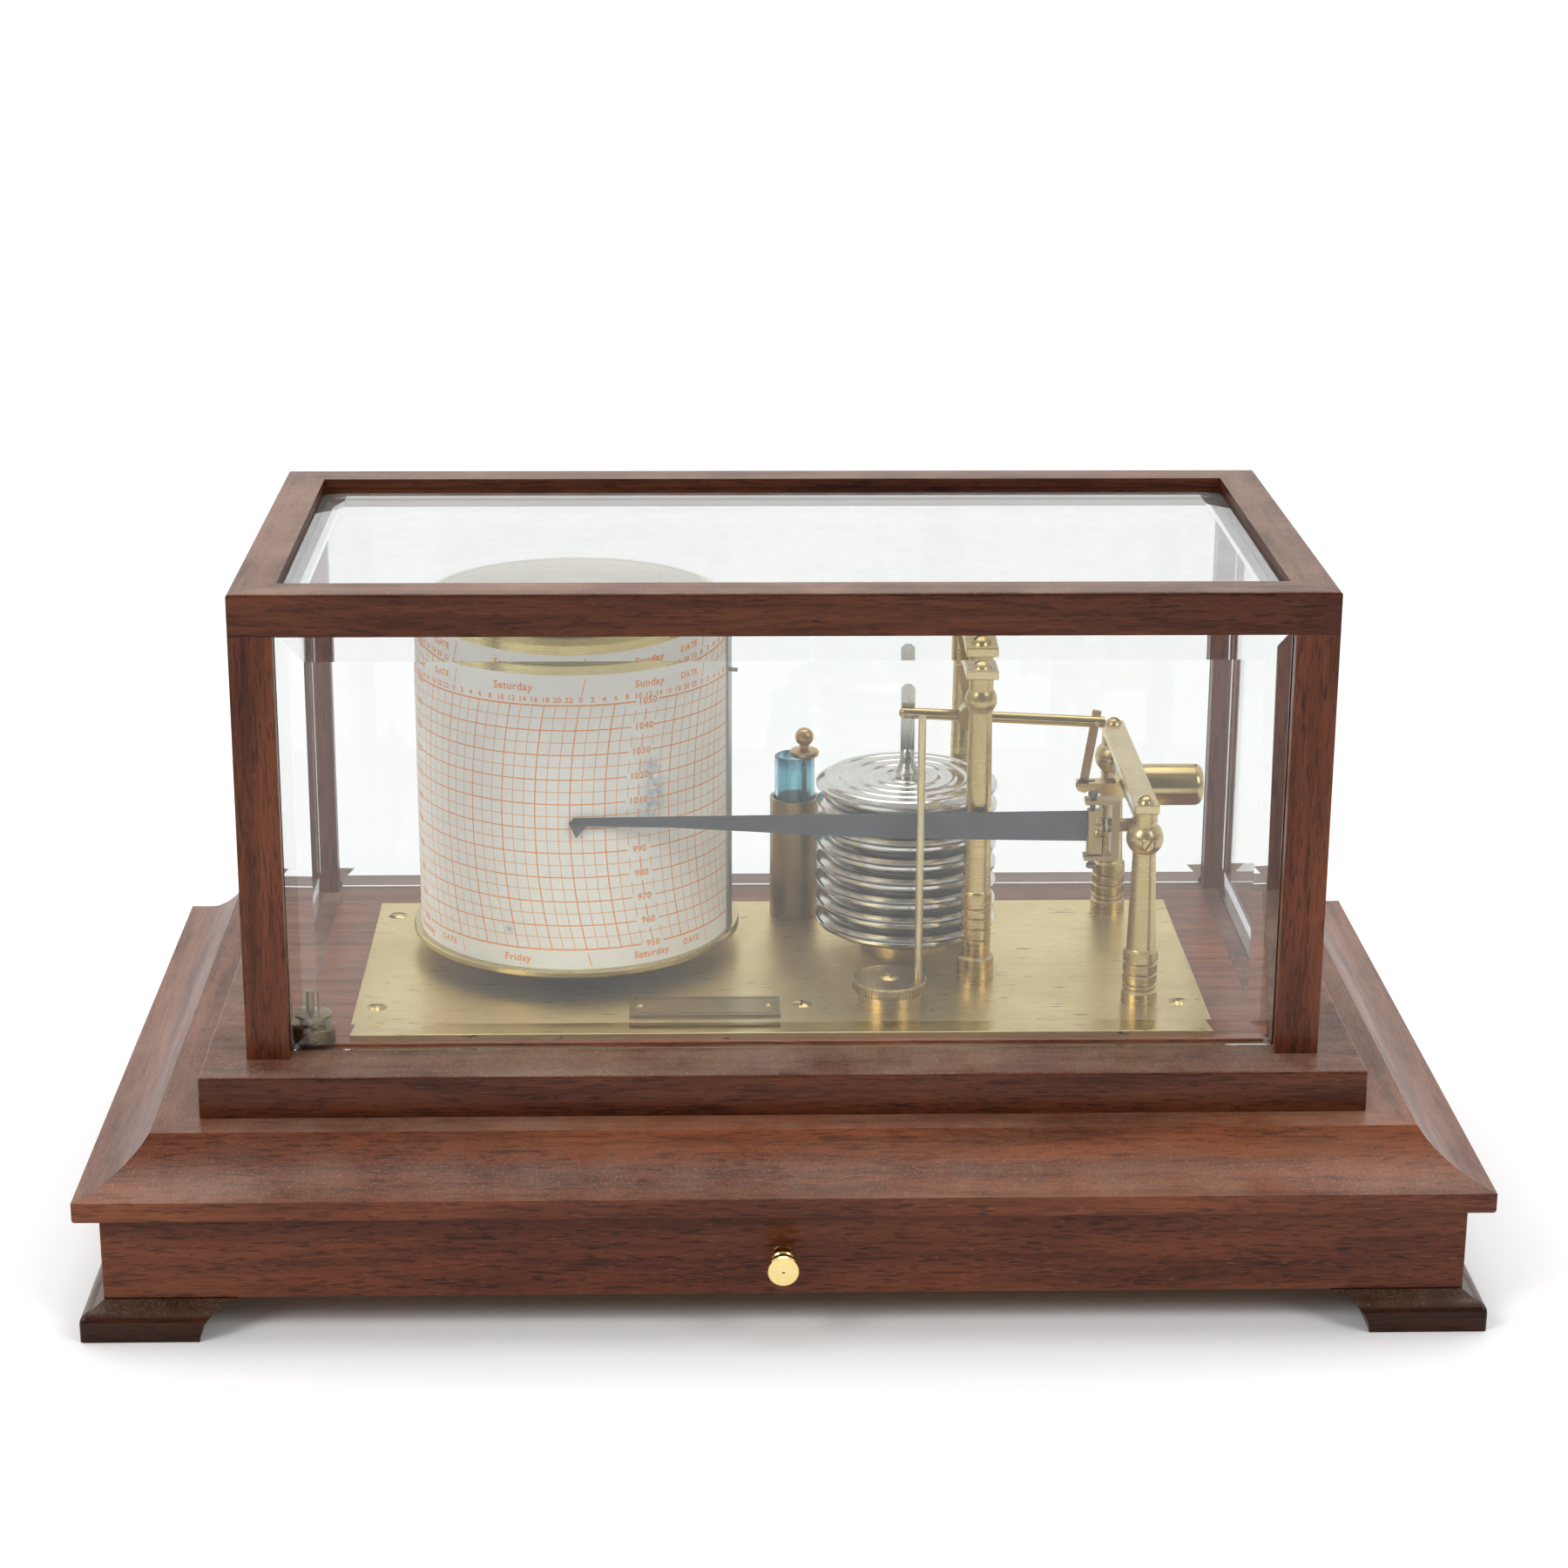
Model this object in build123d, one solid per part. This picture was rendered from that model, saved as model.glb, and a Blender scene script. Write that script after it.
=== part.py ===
"""Barograph: a recording aneroid barometer in a bevelled-glass mahogany case.

Frame: +Z up, +Y to the back, +X to the right, millimetres.  The origin is the middle of the
overall footprint, drawer knob included, on the surface that the four feet stand on.  The
sizes below are taken from the middle of the wooden case, MIDDLE_Y behind that origin.
"""
import os
from math import atan2, cos, degrees, hypot, radians, sin

from build123d import *

# ---------------------------------------------------------------- driving sizes
CASE_W, CASE_D = 298.0, 151.5          # glazed cover, outside
CASE_H = 132.95                        # cover, from the plinth board to its top
POST = 11.9                            # square section of the corner posts
RAIL_W, RAIL_H = 12.1, 11.8            # top rails, width in plan and height

PLINTH_W, PLINTH_D, PLINTH_H = 321.9, 177.5, 11.95
CAP_W, CAP_D = 346.2, 199.4            # flat top of the cap moulding
EDGE_W, EDGE_D = 383.8, 234.6          # outer edge of the cap moulding
EDGE_H, COVE_H = 6.1, 12.2             # its square edge, and the cove above it
COVE_SAG = 2.3                         # depth of the cove below its chord
MOULDING_W = 37.0                      # width of each mitred moulding length
BASE_W, BASE_D, BASE_H = 371.6, 222.4, 25.15
WALL = 9.0                             # base sides and back
FLOOR = 4.0
FOOT_W, FOOT_D, FOOT_H = 383.6, 234.4, 9.85
FOOT_ARM, FOOT_THICK = 42.3, 16.0      # length and thickness of a bracket foot's arms

GLASS = 4.0                            # pane thickness
BEVEL_W, BEVEL_DEPTH = 8.6, 2.3
GLASS_INSET = 3.5                      # pane's outer face, inside the post's face
TOP_INSET = 2.6                        # top pane, below the top of the rails
GROOVE = 0.8                           # depth of the grooves that hold the panes

BOARD_W, BOARD_D, BOARD_H = 271.6, 123.0, 1.1
BOARD_Y = -2.0                         # middle of the raised board
PLATE_W, PLATE_D, PLATE_H = 243.8, 105.2, 2.0
PLATE_Y = -7.5                         # middle of the brass plate

RUN = 0.05                             # radial running clearance of pivots and bores
EASE = 0.3                             # gap between wooden pieces that slide

DRAWER_FRONT, DRAWER_SIDE = 10.0, 6.0  # thickness of the drawer's front and sides
DRAWER_LENGTH = 186.0
KNOB_X = -1.3
KNOB_REACH = 12.1                      # drawer knob, out from the drawer's front
RUNNER_W = 5.0

# ------------------------------------------------------------- derived heights
BASE_Z = FOOT_H
CAP_Z = BASE_Z + BASE_H
PLINTH_Z = CAP_Z + EDGE_H + COVE_H
CASE_Z = PLINTH_Z + PLINTH_H
CASE_TOP = CASE_Z + CASE_H
RAIL_Z = CASE_TOP - RAIL_H
PLATE_Z = CASE_Z + BOARD_H
TOP = PLATE_Z + PLATE_H                # upper face of the brass plate
DRAWER_LOW = BASE_Z + FLOOR + 2.0      # underside of the drawer's sides
DRAWER_HIGH = CAP_Z - 3.0
MIDDLE_Y = (BASE_D / 2 + KNOB_REACH - EDGE_D / 2) / 2

# --------------------------------------------------------- places on the plate
# All heights of the instrument are measured up from the plate's upper face.
SCREW_SPOTS = [(-115.7, 33.6), (-115.7, -43.0), (6.1, -42.2), (114.2, -42.0), (114.2, 33.6)]
SCREW_SHANK = 1.4
TRANSIT_HOLE = (-57.2, -41.2)
NAME_X, NAME_Y = -22.0, -45.2
NAME_W, NAME_D, NAME_H = 43.0, 14.3, 0.8
NAME_BORDER = 1.3                      # edge of the label to its sunk line
PIN_SPOTS = (-18.4, 18.2)

DRUM_X, DRUM_Y = -60.2, 13.7
DRUM_R = 46.5                          # clock drum, outside, under its chart
DRUM_GAP = 5.15                        # plate to the underside of the drum's flange
FLANGE_R, FLANGE_H = 48.8, 2.2
CHART_T = 0.15
CHART_H = 88.1
LID_H = 8.9                            # the drum's domed lid, above the chart
CLIP_ANGLE = -13.0                     # chart clip, from the drum's right-hand side
WHEEL_TEETH, PINION_TEETH = 48, 10
MODULE = 0.6
GEAR_DISTANCE = MODULE * (WHEEL_TEETH + PINION_TEETH) / 2 + 0.06
GEAR_Z, GEAR_H = 1.2, 1.6

STACK_X, STACK_Y = 38.4, 8.0           # aneroid stack
CAPSULES = 8
CAPSULE_R = 26.9
CAPSULE_PITCH = 5.96
CAPSULE_HALF = 2.15                    # half the thickness of one capsule's body
LOWEST_RIM = 8.74                      # middle of the lowest capsule
STACK_LOW = LOWEST_RIM - CAPSULE_PITCH / 2
STACK_HIGH = STACK_LOW + CAPSULES * CAPSULE_PITCH

BEAM_X, BEAM_H = 57.1, 71.8            # main arbor
BEAM_Y = 5.5                           # middle plane of the main beam
BEAM_SLOPE = 3.0                       # degrees, the right end lower
BEAM_LEFT, BEAM_RIGHT = 21.6, 39.3     # arm lengths
BEAM_R, BEAM_PIN_R = 1.65, 0.5
BEAM_PIN_H = BEAM_H + (BEAM_X - STACK_X) * sin(radians(BEAM_SLOPE))
MAIN_ARBOR_R, PEN_ARBOR_R = 1.05, 0.95
PEN_X, PEN_H = 103.0, 49.6             # pen arbor
LEVER_ARM = 12.1                       # pen arbor to the lower link pin
LINK_Y, LINK_T = 8.0, 1.0
LINK_TOP = 36.9                        # main arbor to the upper link pin, along the beam
LINK_SLACK = 0.55                      # radial play of the open lower pivot

TALL_FRONT_Y, TALL_REAR_Y = -23.4, 36.0
TALL_BALL, TALL_BRIDGE = 85.4, 92.3    # ball centre, underside of the bridge
SHORT_FRONT_Y, SHORT_REAR_Y = -41.2, 36.0
SHORT_BRIDGE = 57.5
BRIDGE_T = 2.7

GATE_X, GATE_Y = 89.3, -29.9           # upright axis of the pen's gate
ARM_SLOPE = 2.25                       # degrees, the pen end nearer the front
ARM_LENGTH = 147.9                     # gate axis to the nib, along the arm
BLOCK_SCREWS = (-2.1, 1.6)             # heights of the two clamp screws, from the pen arbor
LIFTER_X, LIFTER_Y = 31.0, -41.4
LIFTER_REACH, LIFTER_ANGLE = 8.3, -14.4
INK_X, INK_Y = 5.9, 34.6
STOPPER_X = INK_X + 2.9


# --------------------------------------------------------------------- helpers
def block(x0, x1, y0, y1, z0, z1):
    """A box between two corners."""
    return Pos((x0 + x1) / 2, (y0 + y1) / 2, (z0 + z1) / 2) * Box(x1 - x0, y1 - y0, z1 - z0)


def post(x, y, z0, z1, r):
    """An upright cylinder."""
    return Pos(x, y, (z0 + z1) / 2) * Cylinder(r, z1 - z0)


def rod_x(x0, x1, y, z, r):
    """A cylinder along X."""
    return Pos((x0 + x1) / 2, y, z) * Rot(0, 90, 0) * Cylinder(r, x1 - x0)


def rod_y(x, y0, y1, z, r):
    """A cylinder along Y."""
    return Pos(x, (y0 + y1) / 2, z) * Rot(90, 0, 0) * Cylinder(r, y1 - y0)


def turned(outline):
    """A solid turned about Z from a list of (radius, height) corners."""
    points = [(r, 0, z) for r, z in outline]
    face = make_face(Polyline(*points, close=True))
    return revolve(face, Axis.Z, 360)


def domed_screw(r, dome, shank_r, shank, slot=0.7):
    """A slotted screw, its head's flat underside at the origin, shank down."""
    ball_r = (r * r + dome * dome) / (2 * dome)
    ball = Pos(0, 0, dome - ball_r) * Sphere(ball_r)
    head = ball & post(0, 0, 0, dome, r)
    head -= block(-r, r, -slot / 2, slot / 2, dome * 0.45, dome * 2)
    return head + post(0, 0, -shank, 0, shank_r)


def mitred(length, width, height):
    """A bar along X with its outer face at y=0, mitred at both ends, z from 0."""
    half = length / 2
    corners = [(-half, 0), (half, 0), (half - width, width), (-half + width, width)]
    return extrude(make_face(Polyline(*corners, close=True)), height)


def write(node, *solids):
    """Write one node; several solids make a group in the one node."""
    placed = [Pos(0, MIDDLE_Y, 0) * solid for solid in solids]
    whole = placed[0] if len(placed) == 1 else Compound(children=placed)
    export_step(whole, f"parts/{node}.step")


def around(function):
    """The four sides of a rectangle: front, back, left, right."""
    front = function(True)
    side = function(False)
    return [front, Rot(0, 0, 180) * front, Rot(0, 0, -90) * side, Rot(0, 0, 90) * side]


# ------------------------------------------------------------------ wooden base
def bracket_feet():
    """Four L-shaped feet with a moulded outer edge and scrolled ends."""
    shoulder = 8.2
    skirt = Pos(0, 0, shoulder / 2) * Box(FOOT_W, FOOT_D, shoulder)
    skirt = fillet(skirt.edges().group_by(Axis.Z)[-1], 3.2)
    skirt = fillet(skirt.edges().filter_by(Axis.Z), 1.2)
    lower = Pos(0, 0, shoulder) * Rectangle(FOOT_W - 6.4, FOOT_D - 6.4)
    upper = Pos(0, 0, FOOT_H) * Rectangle(BASE_W, BASE_D)
    skirt += loft([lower, upper])
    scroll = 9.9
    feet = []
    for sx in (-1, 1):
        for sy in (-1, 1):
            x_out, y_out = sx * FOOT_W / 2, sy * FOOT_D / 2
            x_end, y_end = x_out - sx * FOOT_ARM, y_out - sy * FOOT_ARM
            x_in, y_in = x_out - sx * FOOT_THICK, y_out - sy * FOOT_THICK
            front = block(*sorted((x_out, x_end)), *sorted((y_out, y_in)), 0, FOOT_H)
            side = block(*sorted((x_out, x_in)), *sorted((y_out, y_end)), 0, FOOT_H)
            front -= rod_y(x_end, *sorted((y_out + sy, y_in - sy)), -0.3, scroll)
            side -= rod_x(*sorted((x_out + sx, x_in - sx)), y_end, -0.3, scroll)
            feet.append(skirt & (front + side))
    return feet


def base_walls():
    """Sides, back and floor; the front is the drawer."""
    x_out, y_back = BASE_W / 2, BASE_D / 2
    y_front = -BASE_D / 2 + DRAWER_FRONT + EASE
    sides = []
    for s in (-1, 1):
        span = sorted((s * x_out, s * (x_out - WALL)))
        sides.append(block(*span, y_front, y_back, BASE_Z, CAP_Z))
    back = block(-x_out + WALL, x_out - WALL, y_back - WALL, y_back, BASE_Z, CAP_Z)
    floor = block(-x_out + WALL, x_out - WALL, y_front, y_back - WALL, BASE_Z, BASE_Z + FLOOR)
    return sides, back, floor


def cap_moulding(along_front):
    """One mitred length of the cove moulding, lying along X at the front."""
    length, depth = (EDGE_W, EDGE_D) if along_front else (EDGE_D, EDGE_W)
    cove_w = (EDGE_W - CAP_W) / 2
    chord = hypot(cove_w, COVE_H)
    middle = (cove_w / 2 + COVE_SAG * COVE_H / chord, EDGE_H + COVE_H / 2 - COVE_SAG * cove_w / chord)
    square_edge = Polyline((cove_w, EDGE_H + COVE_H), (MOULDING_W, EDGE_H + COVE_H),
                           (MOULDING_W, 0), (0, 0), (0, EDGE_H))
    cove = ThreePointArc((0, EDGE_H), middle, (cove_w, EDGE_H + COVE_H))
    profile = Plane.YZ * make_face(square_edge + cove)
    bar = extrude(profile, length / 2, both=True)
    bar &= mitred(length, MOULDING_W, EDGE_H + COVE_H)
    lower_arris = bar.edges().filter_by(Axis.X).group_by(Axis.Y)[0].sort_by(Axis.Z)[0]
    bar = fillet(lower_arris, 1.4)
    return Pos(0, -depth / 2, CAP_Z) * bar


def cap_panel():
    """The board that fills the frame of mouldings, under the plinth board."""
    w, d = EDGE_W / 2 - MOULDING_W, EDGE_D / 2 - MOULDING_W
    return block(-w, w, -d, d, CAP_Z + EDGE_H, PLINTH_Z)


def slab(w, d, z0, z1, arris, y=0.0):
    """A board with its upper and upright edges eased."""
    board = Pos(0, y, (z0 + z1) / 2) * Box(w, d, z1 - z0)
    edges = board.edges().group_by(Axis.Z)[-1] + board.edges().filter_by(Axis.Z)
    return fillet(edges, arris)


# ----------------------------------------------------------------------- drawer
def drawer():
    """Front, sides, back, bottom and knob of the full-width drawer."""
    y_front = -BASE_D / 2
    y_in = y_front + DRAWER_FRONT
    y_back = y_front + DRAWER_LENGTH
    x_side = BASE_W / 2 - WALL - EASE
    front = block(-BASE_W / 2, BASE_W / 2, y_front, y_in, BASE_Z + 0.25, CAP_Z - 0.2)
    front = fillet(front.edges().group_by(Axis.Y)[0], 0.5)
    z_knob = BASE_Z + BASE_H / 2
    front -= rod_y(KNOB_X, y_front, y_in - 3, z_knob, 1.6)
    sides = []
    for s in (-1, 1):
        span = sorted((s * x_side, s * (x_side - DRAWER_SIDE)))
        sides.append(block(*span, y_in, y_back, DRAWER_LOW, DRAWER_HIGH))
    x_in = x_side - DRAWER_SIDE
    back = block(-x_in, x_in, y_back - DRAWER_SIDE, y_back, DRAWER_LOW + 3, DRAWER_HIGH)
    bottom = block(-x_in, x_in, y_in, y_back, DRAWER_LOW, DRAWER_LOW + 3)
    outline = [(0, 0), (2.6, 0), (2.6, 0.8), (1.9, 1.6), (2.4, 2.4), (3.4, 3.4), (3.8, 4.6), (3.8, 5.4),
               (3.4, 6.6), (2.5, 7.5), (2.1, 8.2), (2.5, 8.8), (4.25, 9.6), (4.4, 10.1), (4.4, 11.5),
               (4.1, KNOB_REACH - 0.1), (0, KNOB_REACH)]
    knob = turned(outline) + post(0, 0, -5, 0, 1.5)
    knob = Pos(KNOB_X, y_front, z_knob) * Rot(90, 0, 0) * knob
    return front, sides, back, bottom, knob


def drawer_runners():
    """Two strips on the floor that carry the drawer's sides."""
    x_side = BASE_W / 2 - WALL - EASE
    y0 = -BASE_D / 2 + DRAWER_FRONT + 4
    strips = []
    for s in (-1, 1):
        span = sorted((s * x_side, s * (x_side - RUNNER_W)))
        strips.append(block(*span, y0, BASE_D / 2 - WALL, BASE_Z + FLOOR, DRAWER_LOW))
    return strips


# ------------------------------------------------------------------ glazed case
def corner_posts():
    """Four square posts, each grooved on its two inner faces."""
    posts = []
    out = GLASS_INSET
    for sx in (-1, 1):
        for sy in (-1, 1):
            bar = block(0, POST, 0, POST, CASE_Z, RAIL_Z)
            bar -= block(POST - GROOVE, POST, out, out + GLASS, CASE_Z, RAIL_Z)
            bar -= block(out, out + GLASS, POST - GROOVE, POST, CASE_Z, RAIL_Z)
            bar = Pos(-CASE_W / 2, -CASE_D / 2, 0) * bar
            if sx > 0:
                bar = mirror(bar, Plane.YZ)
            if sy > 0:
                bar = mirror(bar, Plane.XZ)
            posts.append(bar)
    return posts


def top_rail(along_front):
    """One mitred rail of the top frame, grooved for its wall and the top pane."""
    length, depth = (CASE_W, CASE_D) if along_front else (CASE_D, CASE_W)
    bar = mitred(length, RAIL_W, RAIL_H)
    top = bar.faces().sort_by(Axis.Z)[-1].edges().sort_by(Axis.Y)[0]
    bar = fillet(top, 0.9)
    half = length / 2 - POST + GROOVE
    bar -= block(-half, half, GLASS_INSET, GLASS_INSET + GLASS, 0, GROOVE)
    pane_low = RAIL_H - TOP_INSET - GLASS
    half = length / 2 - RAIL_W + GROOVE
    bar -= block(-half, half, RAIL_W - GROOVE, RAIL_W, pane_low, pane_low + GLASS)
    return Pos(0, -depth / 2, RAIL_Z) * bar


def pane(width, height):
    """A bevelled pane, centred, its flat inner face at z=0 and bevels on the outer."""
    land = GLASS - BEVEL_DEPTH
    sheet = extrude(Rectangle(width, height), land)
    lower = Pos(0, 0, land) * Rectangle(width, height)
    upper = Pos(0, 0, GLASS) * Rectangle(width - 2 * BEVEL_W, height - 2 * BEVEL_W)
    return sheet + loft([lower, upper])


def panes():
    """Front, back, left, right and top panes."""
    low = CASE_Z + 0.4
    high = RAIL_Z + GROOVE
    tall = high - low
    wide = CASE_W - 2 * POST + 2 * GROOVE
    deep = CASE_D - 2 * POST + 2 * GROOVE
    inset = GLASS_INSET + GLASS
    middle = (low + high) / 2
    front = Pos(0, -CASE_D / 2 + inset, middle) * Rot(90, 0, 0) * pane(wide, tall)
    right = Rot(0, 0, 90) * Pos(0, -CASE_W / 2 + inset, middle) * Rot(90, 0, 0) * pane(deep, tall)
    top = pane(CASE_W - 2 * RAIL_W + 2 * GROOVE, CASE_D - 2 * RAIL_W + 2 * GROOVE)
    return {
        "glass_front": front,
        "glass_back": Rot(0, 0, 180) * front,
        "glass_right": right,
        "glass_left": Rot(0, 0, 180) * right,
        "glass_top": Pos(0, 0, CASE_TOP - TOP_INSET - GLASS) * top,
    }


# ------------------------------------------------------------ plate and fittings
def bed_plate():
    """The brass plate, with its screw holes and an empty transit-screw hole."""
    plate = slab(PLATE_W, PLATE_D, PLATE_Z, TOP, 0.4, PLATE_Y)
    for x, y in SCREW_SPOTS:
        plate -= post(x, y, PLATE_Z, TOP, SCREW_SHANK + RUN)
    plate -= post(*TRANSIT_HOLE, PLATE_Z, TOP, 1.25)
    plate -= post(LIFTER_X, LIFTER_Y, PLATE_Z, TOP, 1.5 + RUN)
    return plate


def instrument_board():
    """The raised board that the plate is screwed to and the case fits round."""
    board = slab(BOARD_W, BOARD_D, CASE_Z, PLATE_Z, 0.4, BOARD_Y)
    for x, y in SCREW_SPOTS:
        board -= post(x, y, CASE_Z, PLATE_Z, SCREW_SHANK + RUN)
    return board


def plate_fasteners():
    """Five slotted plate screws, the nameplate's two pins and the lifter's shouldered screw."""
    turns = (0, 12, 78, -8, 35)
    group = []
    for (x, y), turn in zip(SCREW_SPOTS, turns):
        screw = domed_screw(3.0, 0.85, SCREW_SHANK, PLATE_H + BOARD_H)
        group.append(Pos(x, y, TOP) * Rot(0, 0, turn) * screw)
    for x in PIN_SPOTS:
        group.append(Pos(NAME_X + x, NAME_Y, TOP + NAME_H) * rivet())
    lifter = domed_screw(2.95, 1.0, 1.5, 9.7)
    group.append(Pos(LIFTER_X, LIFTER_Y, TOP + 7.75) * Rot(0, 0, 100) * lifter)
    return group


def rivet():
    """A small round-headed pin, head's underside at the origin."""
    return (Pos(0, 0, -0.9) * Sphere(1.55) & post(0, 0, 0, 1, 1.25)) + post(0, 0, -NAME_H, 0, 0.5)


def nameplate():
    """A blank brass label with a sunk border line."""
    x0, y0 = NAME_X - NAME_W / 2, NAME_Y - NAME_D / 2
    label = block(x0, x0 + NAME_W, y0, y0 + NAME_D, TOP, TOP + NAME_H)
    line_w, line_d = NAME_W - 2 * NAME_BORDER, NAME_D - 2 * NAME_BORDER
    border = Rectangle(line_w, line_d) - Rectangle(line_w - 0.8, line_d - 0.8)
    for side in (-1, 1):
        border -= Pos(side * (line_w / 2 - 1.8), 0) * Rectangle(3.8, 4.2)
    label -= Pos(NAME_X, NAME_Y, TOP + NAME_H - 0.3) * extrude(border, 1)
    for x in PIN_SPOTS:
        label -= post(NAME_X + x, NAME_Y, TOP, TOP + NAME_H, 0.5)
    return label


def ink_holder():
    """A plain brass tube with a floor, standing on the plate."""
    tube = post(INK_X, INK_Y, TOP, TOP + 37.8, 7.5)
    return tube - post(INK_X, INK_Y, TOP + 3, TOP + 38, 6.5)


def ink_bottle():
    """A round glass phial that drops into the tube."""
    body = post(INK_X, INK_Y, TOP + 3, TOP + 50.9, 6.1)
    body = fillet(body.edges(), 0.5)
    return body - post(INK_X, INK_Y, TOP + 5, TOP + 51, 5.1)


def ink_stopper():
    """Turned stopper: ball, neck, flange and a thin dipping rod, leaning on one side."""
    ball = 2.85
    flange = 52.6
    outline = [(0, 36.6), (0.8, 37.0), (0.8, 50.95), (4.3, 50.95), (4.45, 51.3), (4.45, 52.2),
               (4.1, flange), (2.2, 52.9), (1.5, 53.4), (1.5, 54.6), (0, 54.6)]
    stopper = turned(outline) + Pos(0, 0, 56.7) * Sphere(ball)
    return Pos(STOPPER_X, INK_Y, TOP) * stopper


def thumb_screw():
    """A spare knurled thumb screw standing on its head in the front left corner."""
    outline = [(0, 0), (5.3, 0), (5.6, 0.4), (5.6, 4.6), (5.2, 5.0), (3.2, 5.0), (3.2, 6.6), (5.0, 7.2),
               (5.0, 8.0), (1.35, 8.6), (1.35, 14.2), (1.0, 14.6), (0, 14.6)]
    screw = turned(outline)
    teeth = 40
    for i in range(teeth):
        screw -= Rot(0, 0, 360 * i / teeth) * block(5.35, 6, -0.18, 0.18, 0.6, 4.4)
    return Pos(-131.2, -62.2, PLATE_Z) * screw


# ------------------------------------------------------------------ clock drum
def spindle():
    """The fixed spindle that the drum turns on."""
    outline = [(0, 0), (9, 0), (9, GEAR_Z), (4.5, GEAR_Z), (4.5, GEAR_Z + GEAR_H + 0.6),
               (4.0, DRUM_GAP), (2.5, DRUM_GAP), (2.5, 60), (2.0, 60.6), (0, 60.6)]
    return Pos(DRUM_X, DRUM_Y, TOP) * turned(outline)


def gear(teeth, height, bore, slim):
    """A spur gear with straight-flanked teeth; one tooth points along +X."""
    pitch_r = MODULE * teeth / 2
    root, tip = pitch_r - 1.15 * MODULE, pitch_r + 0.95 * MODULE
    base_w, tip_w = slim * 1.45 * MODULE, slim * 0.62 * MODULE
    wheel = extrude(Circle(root) - Circle(bore), height)
    outline = Polyline((root * 0.9, -base_w / 2), (root, -base_w / 2), (tip, -tip_w / 2),
                       (tip, tip_w / 2), (root, base_w / 2), (root * 0.9, base_w / 2), close=True)
    tooth = extrude(make_face(outline), height)
    return wheel + [Rot(0, 0, 360 * i / teeth) * tooth for i in range(teeth)]


def centre_wheel():
    """The fixed wheel that the drum's pinion walks round; a tooth points to +Y."""
    wheel = gear(WHEEL_TEETH, GEAR_H, 4.5, 0.9)
    return Pos(DRUM_X, DRUM_Y, TOP + GEAR_Z) * Rot(0, 0, 90) * wheel


def drive_pinion():
    """Pinion, arbor and driven wheel; a tooth gap faces the centre wheel."""
    pinion = gear(PINION_TEETH, GEAR_H + 0.4, 0.9, 0.9)
    gap_turn = -90 + 180 / PINION_TEETH
    part = Pos(0, 0, GEAR_Z - 0.2) * Rot(0, 0, gap_turn) * pinion
    part += post(0, 0, GEAR_Z - 0.2, 33.5, 1.0)
    part += post(0, 0, 14, 15.2, 8.5)
    return Pos(DRUM_X, DRUM_Y + GEAR_DISTANCE, TOP) * part


def drum_shell():
    """Cup-shaped drum with its bottom flange, open at the top under the lid."""
    inner = DRUM_R - 1.0
    low, shelf = DRUM_GAP, DRUM_GAP + FLANGE_H
    high = shelf + CHART_H
    outline = [(2.5 + RUN, low), (FLANGE_R - 0.5, low), (FLANGE_R, low + 0.5), (FLANGE_R, shelf - 0.5),
               (FLANGE_R - 0.5, shelf), (DRUM_R, shelf), (DRUM_R, high), (inner, high),
               (inner, shelf), (5.0, shelf), (5.0, 52), (2.5 + RUN, 52)]
    shell = Pos(DRUM_X, DRUM_Y, TOP) * turned(outline)
    return shell - post(DRUM_X, DRUM_Y + GEAR_DISTANCE, TOP, TOP + shelf + 1, 1.0 + RUN)


def drum_lid():
    """The domed lid: a skirt inside the shell, a rounded shoulder and a dished crown."""
    z0 = DRUM_GAP + FLANGE_H + CHART_H
    z1 = z0 + LID_H
    outer = [(DRUM_R, z0), (DRUM_R - 0.1, z0 + 2.6), (DRUM_R - 0.4, z0 + 4.6), (DRUM_R - 1.1, z0 + 6.3),
             (DRUM_R - 2.3, z0 + 7.7), (DRUM_R - 3.9, z0 + 8.5), (DRUM_R - 5.8, z1),
             (DRUM_R - 7.4, z1 - 0.2), (20, z1 - 1.1), (6, z1 - 1.3), (0, z1 - 1.3)]
    inner = [(0, z1 - 2.5), (DRUM_R - 7.2, z1 - 1.6), (DRUM_R - 4.0, z0 + 6.4), (DRUM_R - 2.2, z0 + 3.0),
             (DRUM_R - 2.2, z0 - 4.5), (DRUM_R - 1.2, z0 - 4.5), (DRUM_R - 1.2, z0)]
    return Pos(DRUM_X, DRUM_Y, TOP) * turned(outer + inner)


def chart_paper():
    """The chart: one thin sheet wrapped round the drum."""
    z0 = TOP + DRUM_GAP + FLANGE_H
    outer = post(DRUM_X, DRUM_Y, z0, z0 + CHART_H, DRUM_R + CHART_T)
    return outer - post(DRUM_X, DRUM_Y, z0 - 1, z0 + CHART_H + 1, DRUM_R)


def chart_clip():
    """The sprung steel bar that holds the chart's ends, with a small finger pin."""
    z0 = TOP + DRUM_GAP + FLANGE_H
    r0 = DRUM_R + CHART_T
    ring = post(0, 0, z0, z0 + CHART_H + 0.8, r0 + 0.7) - post(0, 0, z0 - 1, z0 + CHART_H + 2, r0)
    bar = ring & block(0, r0 + 5, -2.3, 2.3, z0, z0 + CHART_H + 0.8)
    pin = rod_x(r0 + 0.3, r0 + 2.9, 0, TOP + 87, 0.6)
    return Pos(DRUM_X, DRUM_Y, 0) * Rot(0, 0, CLIP_ANGLE) * (bar + pin)


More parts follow.
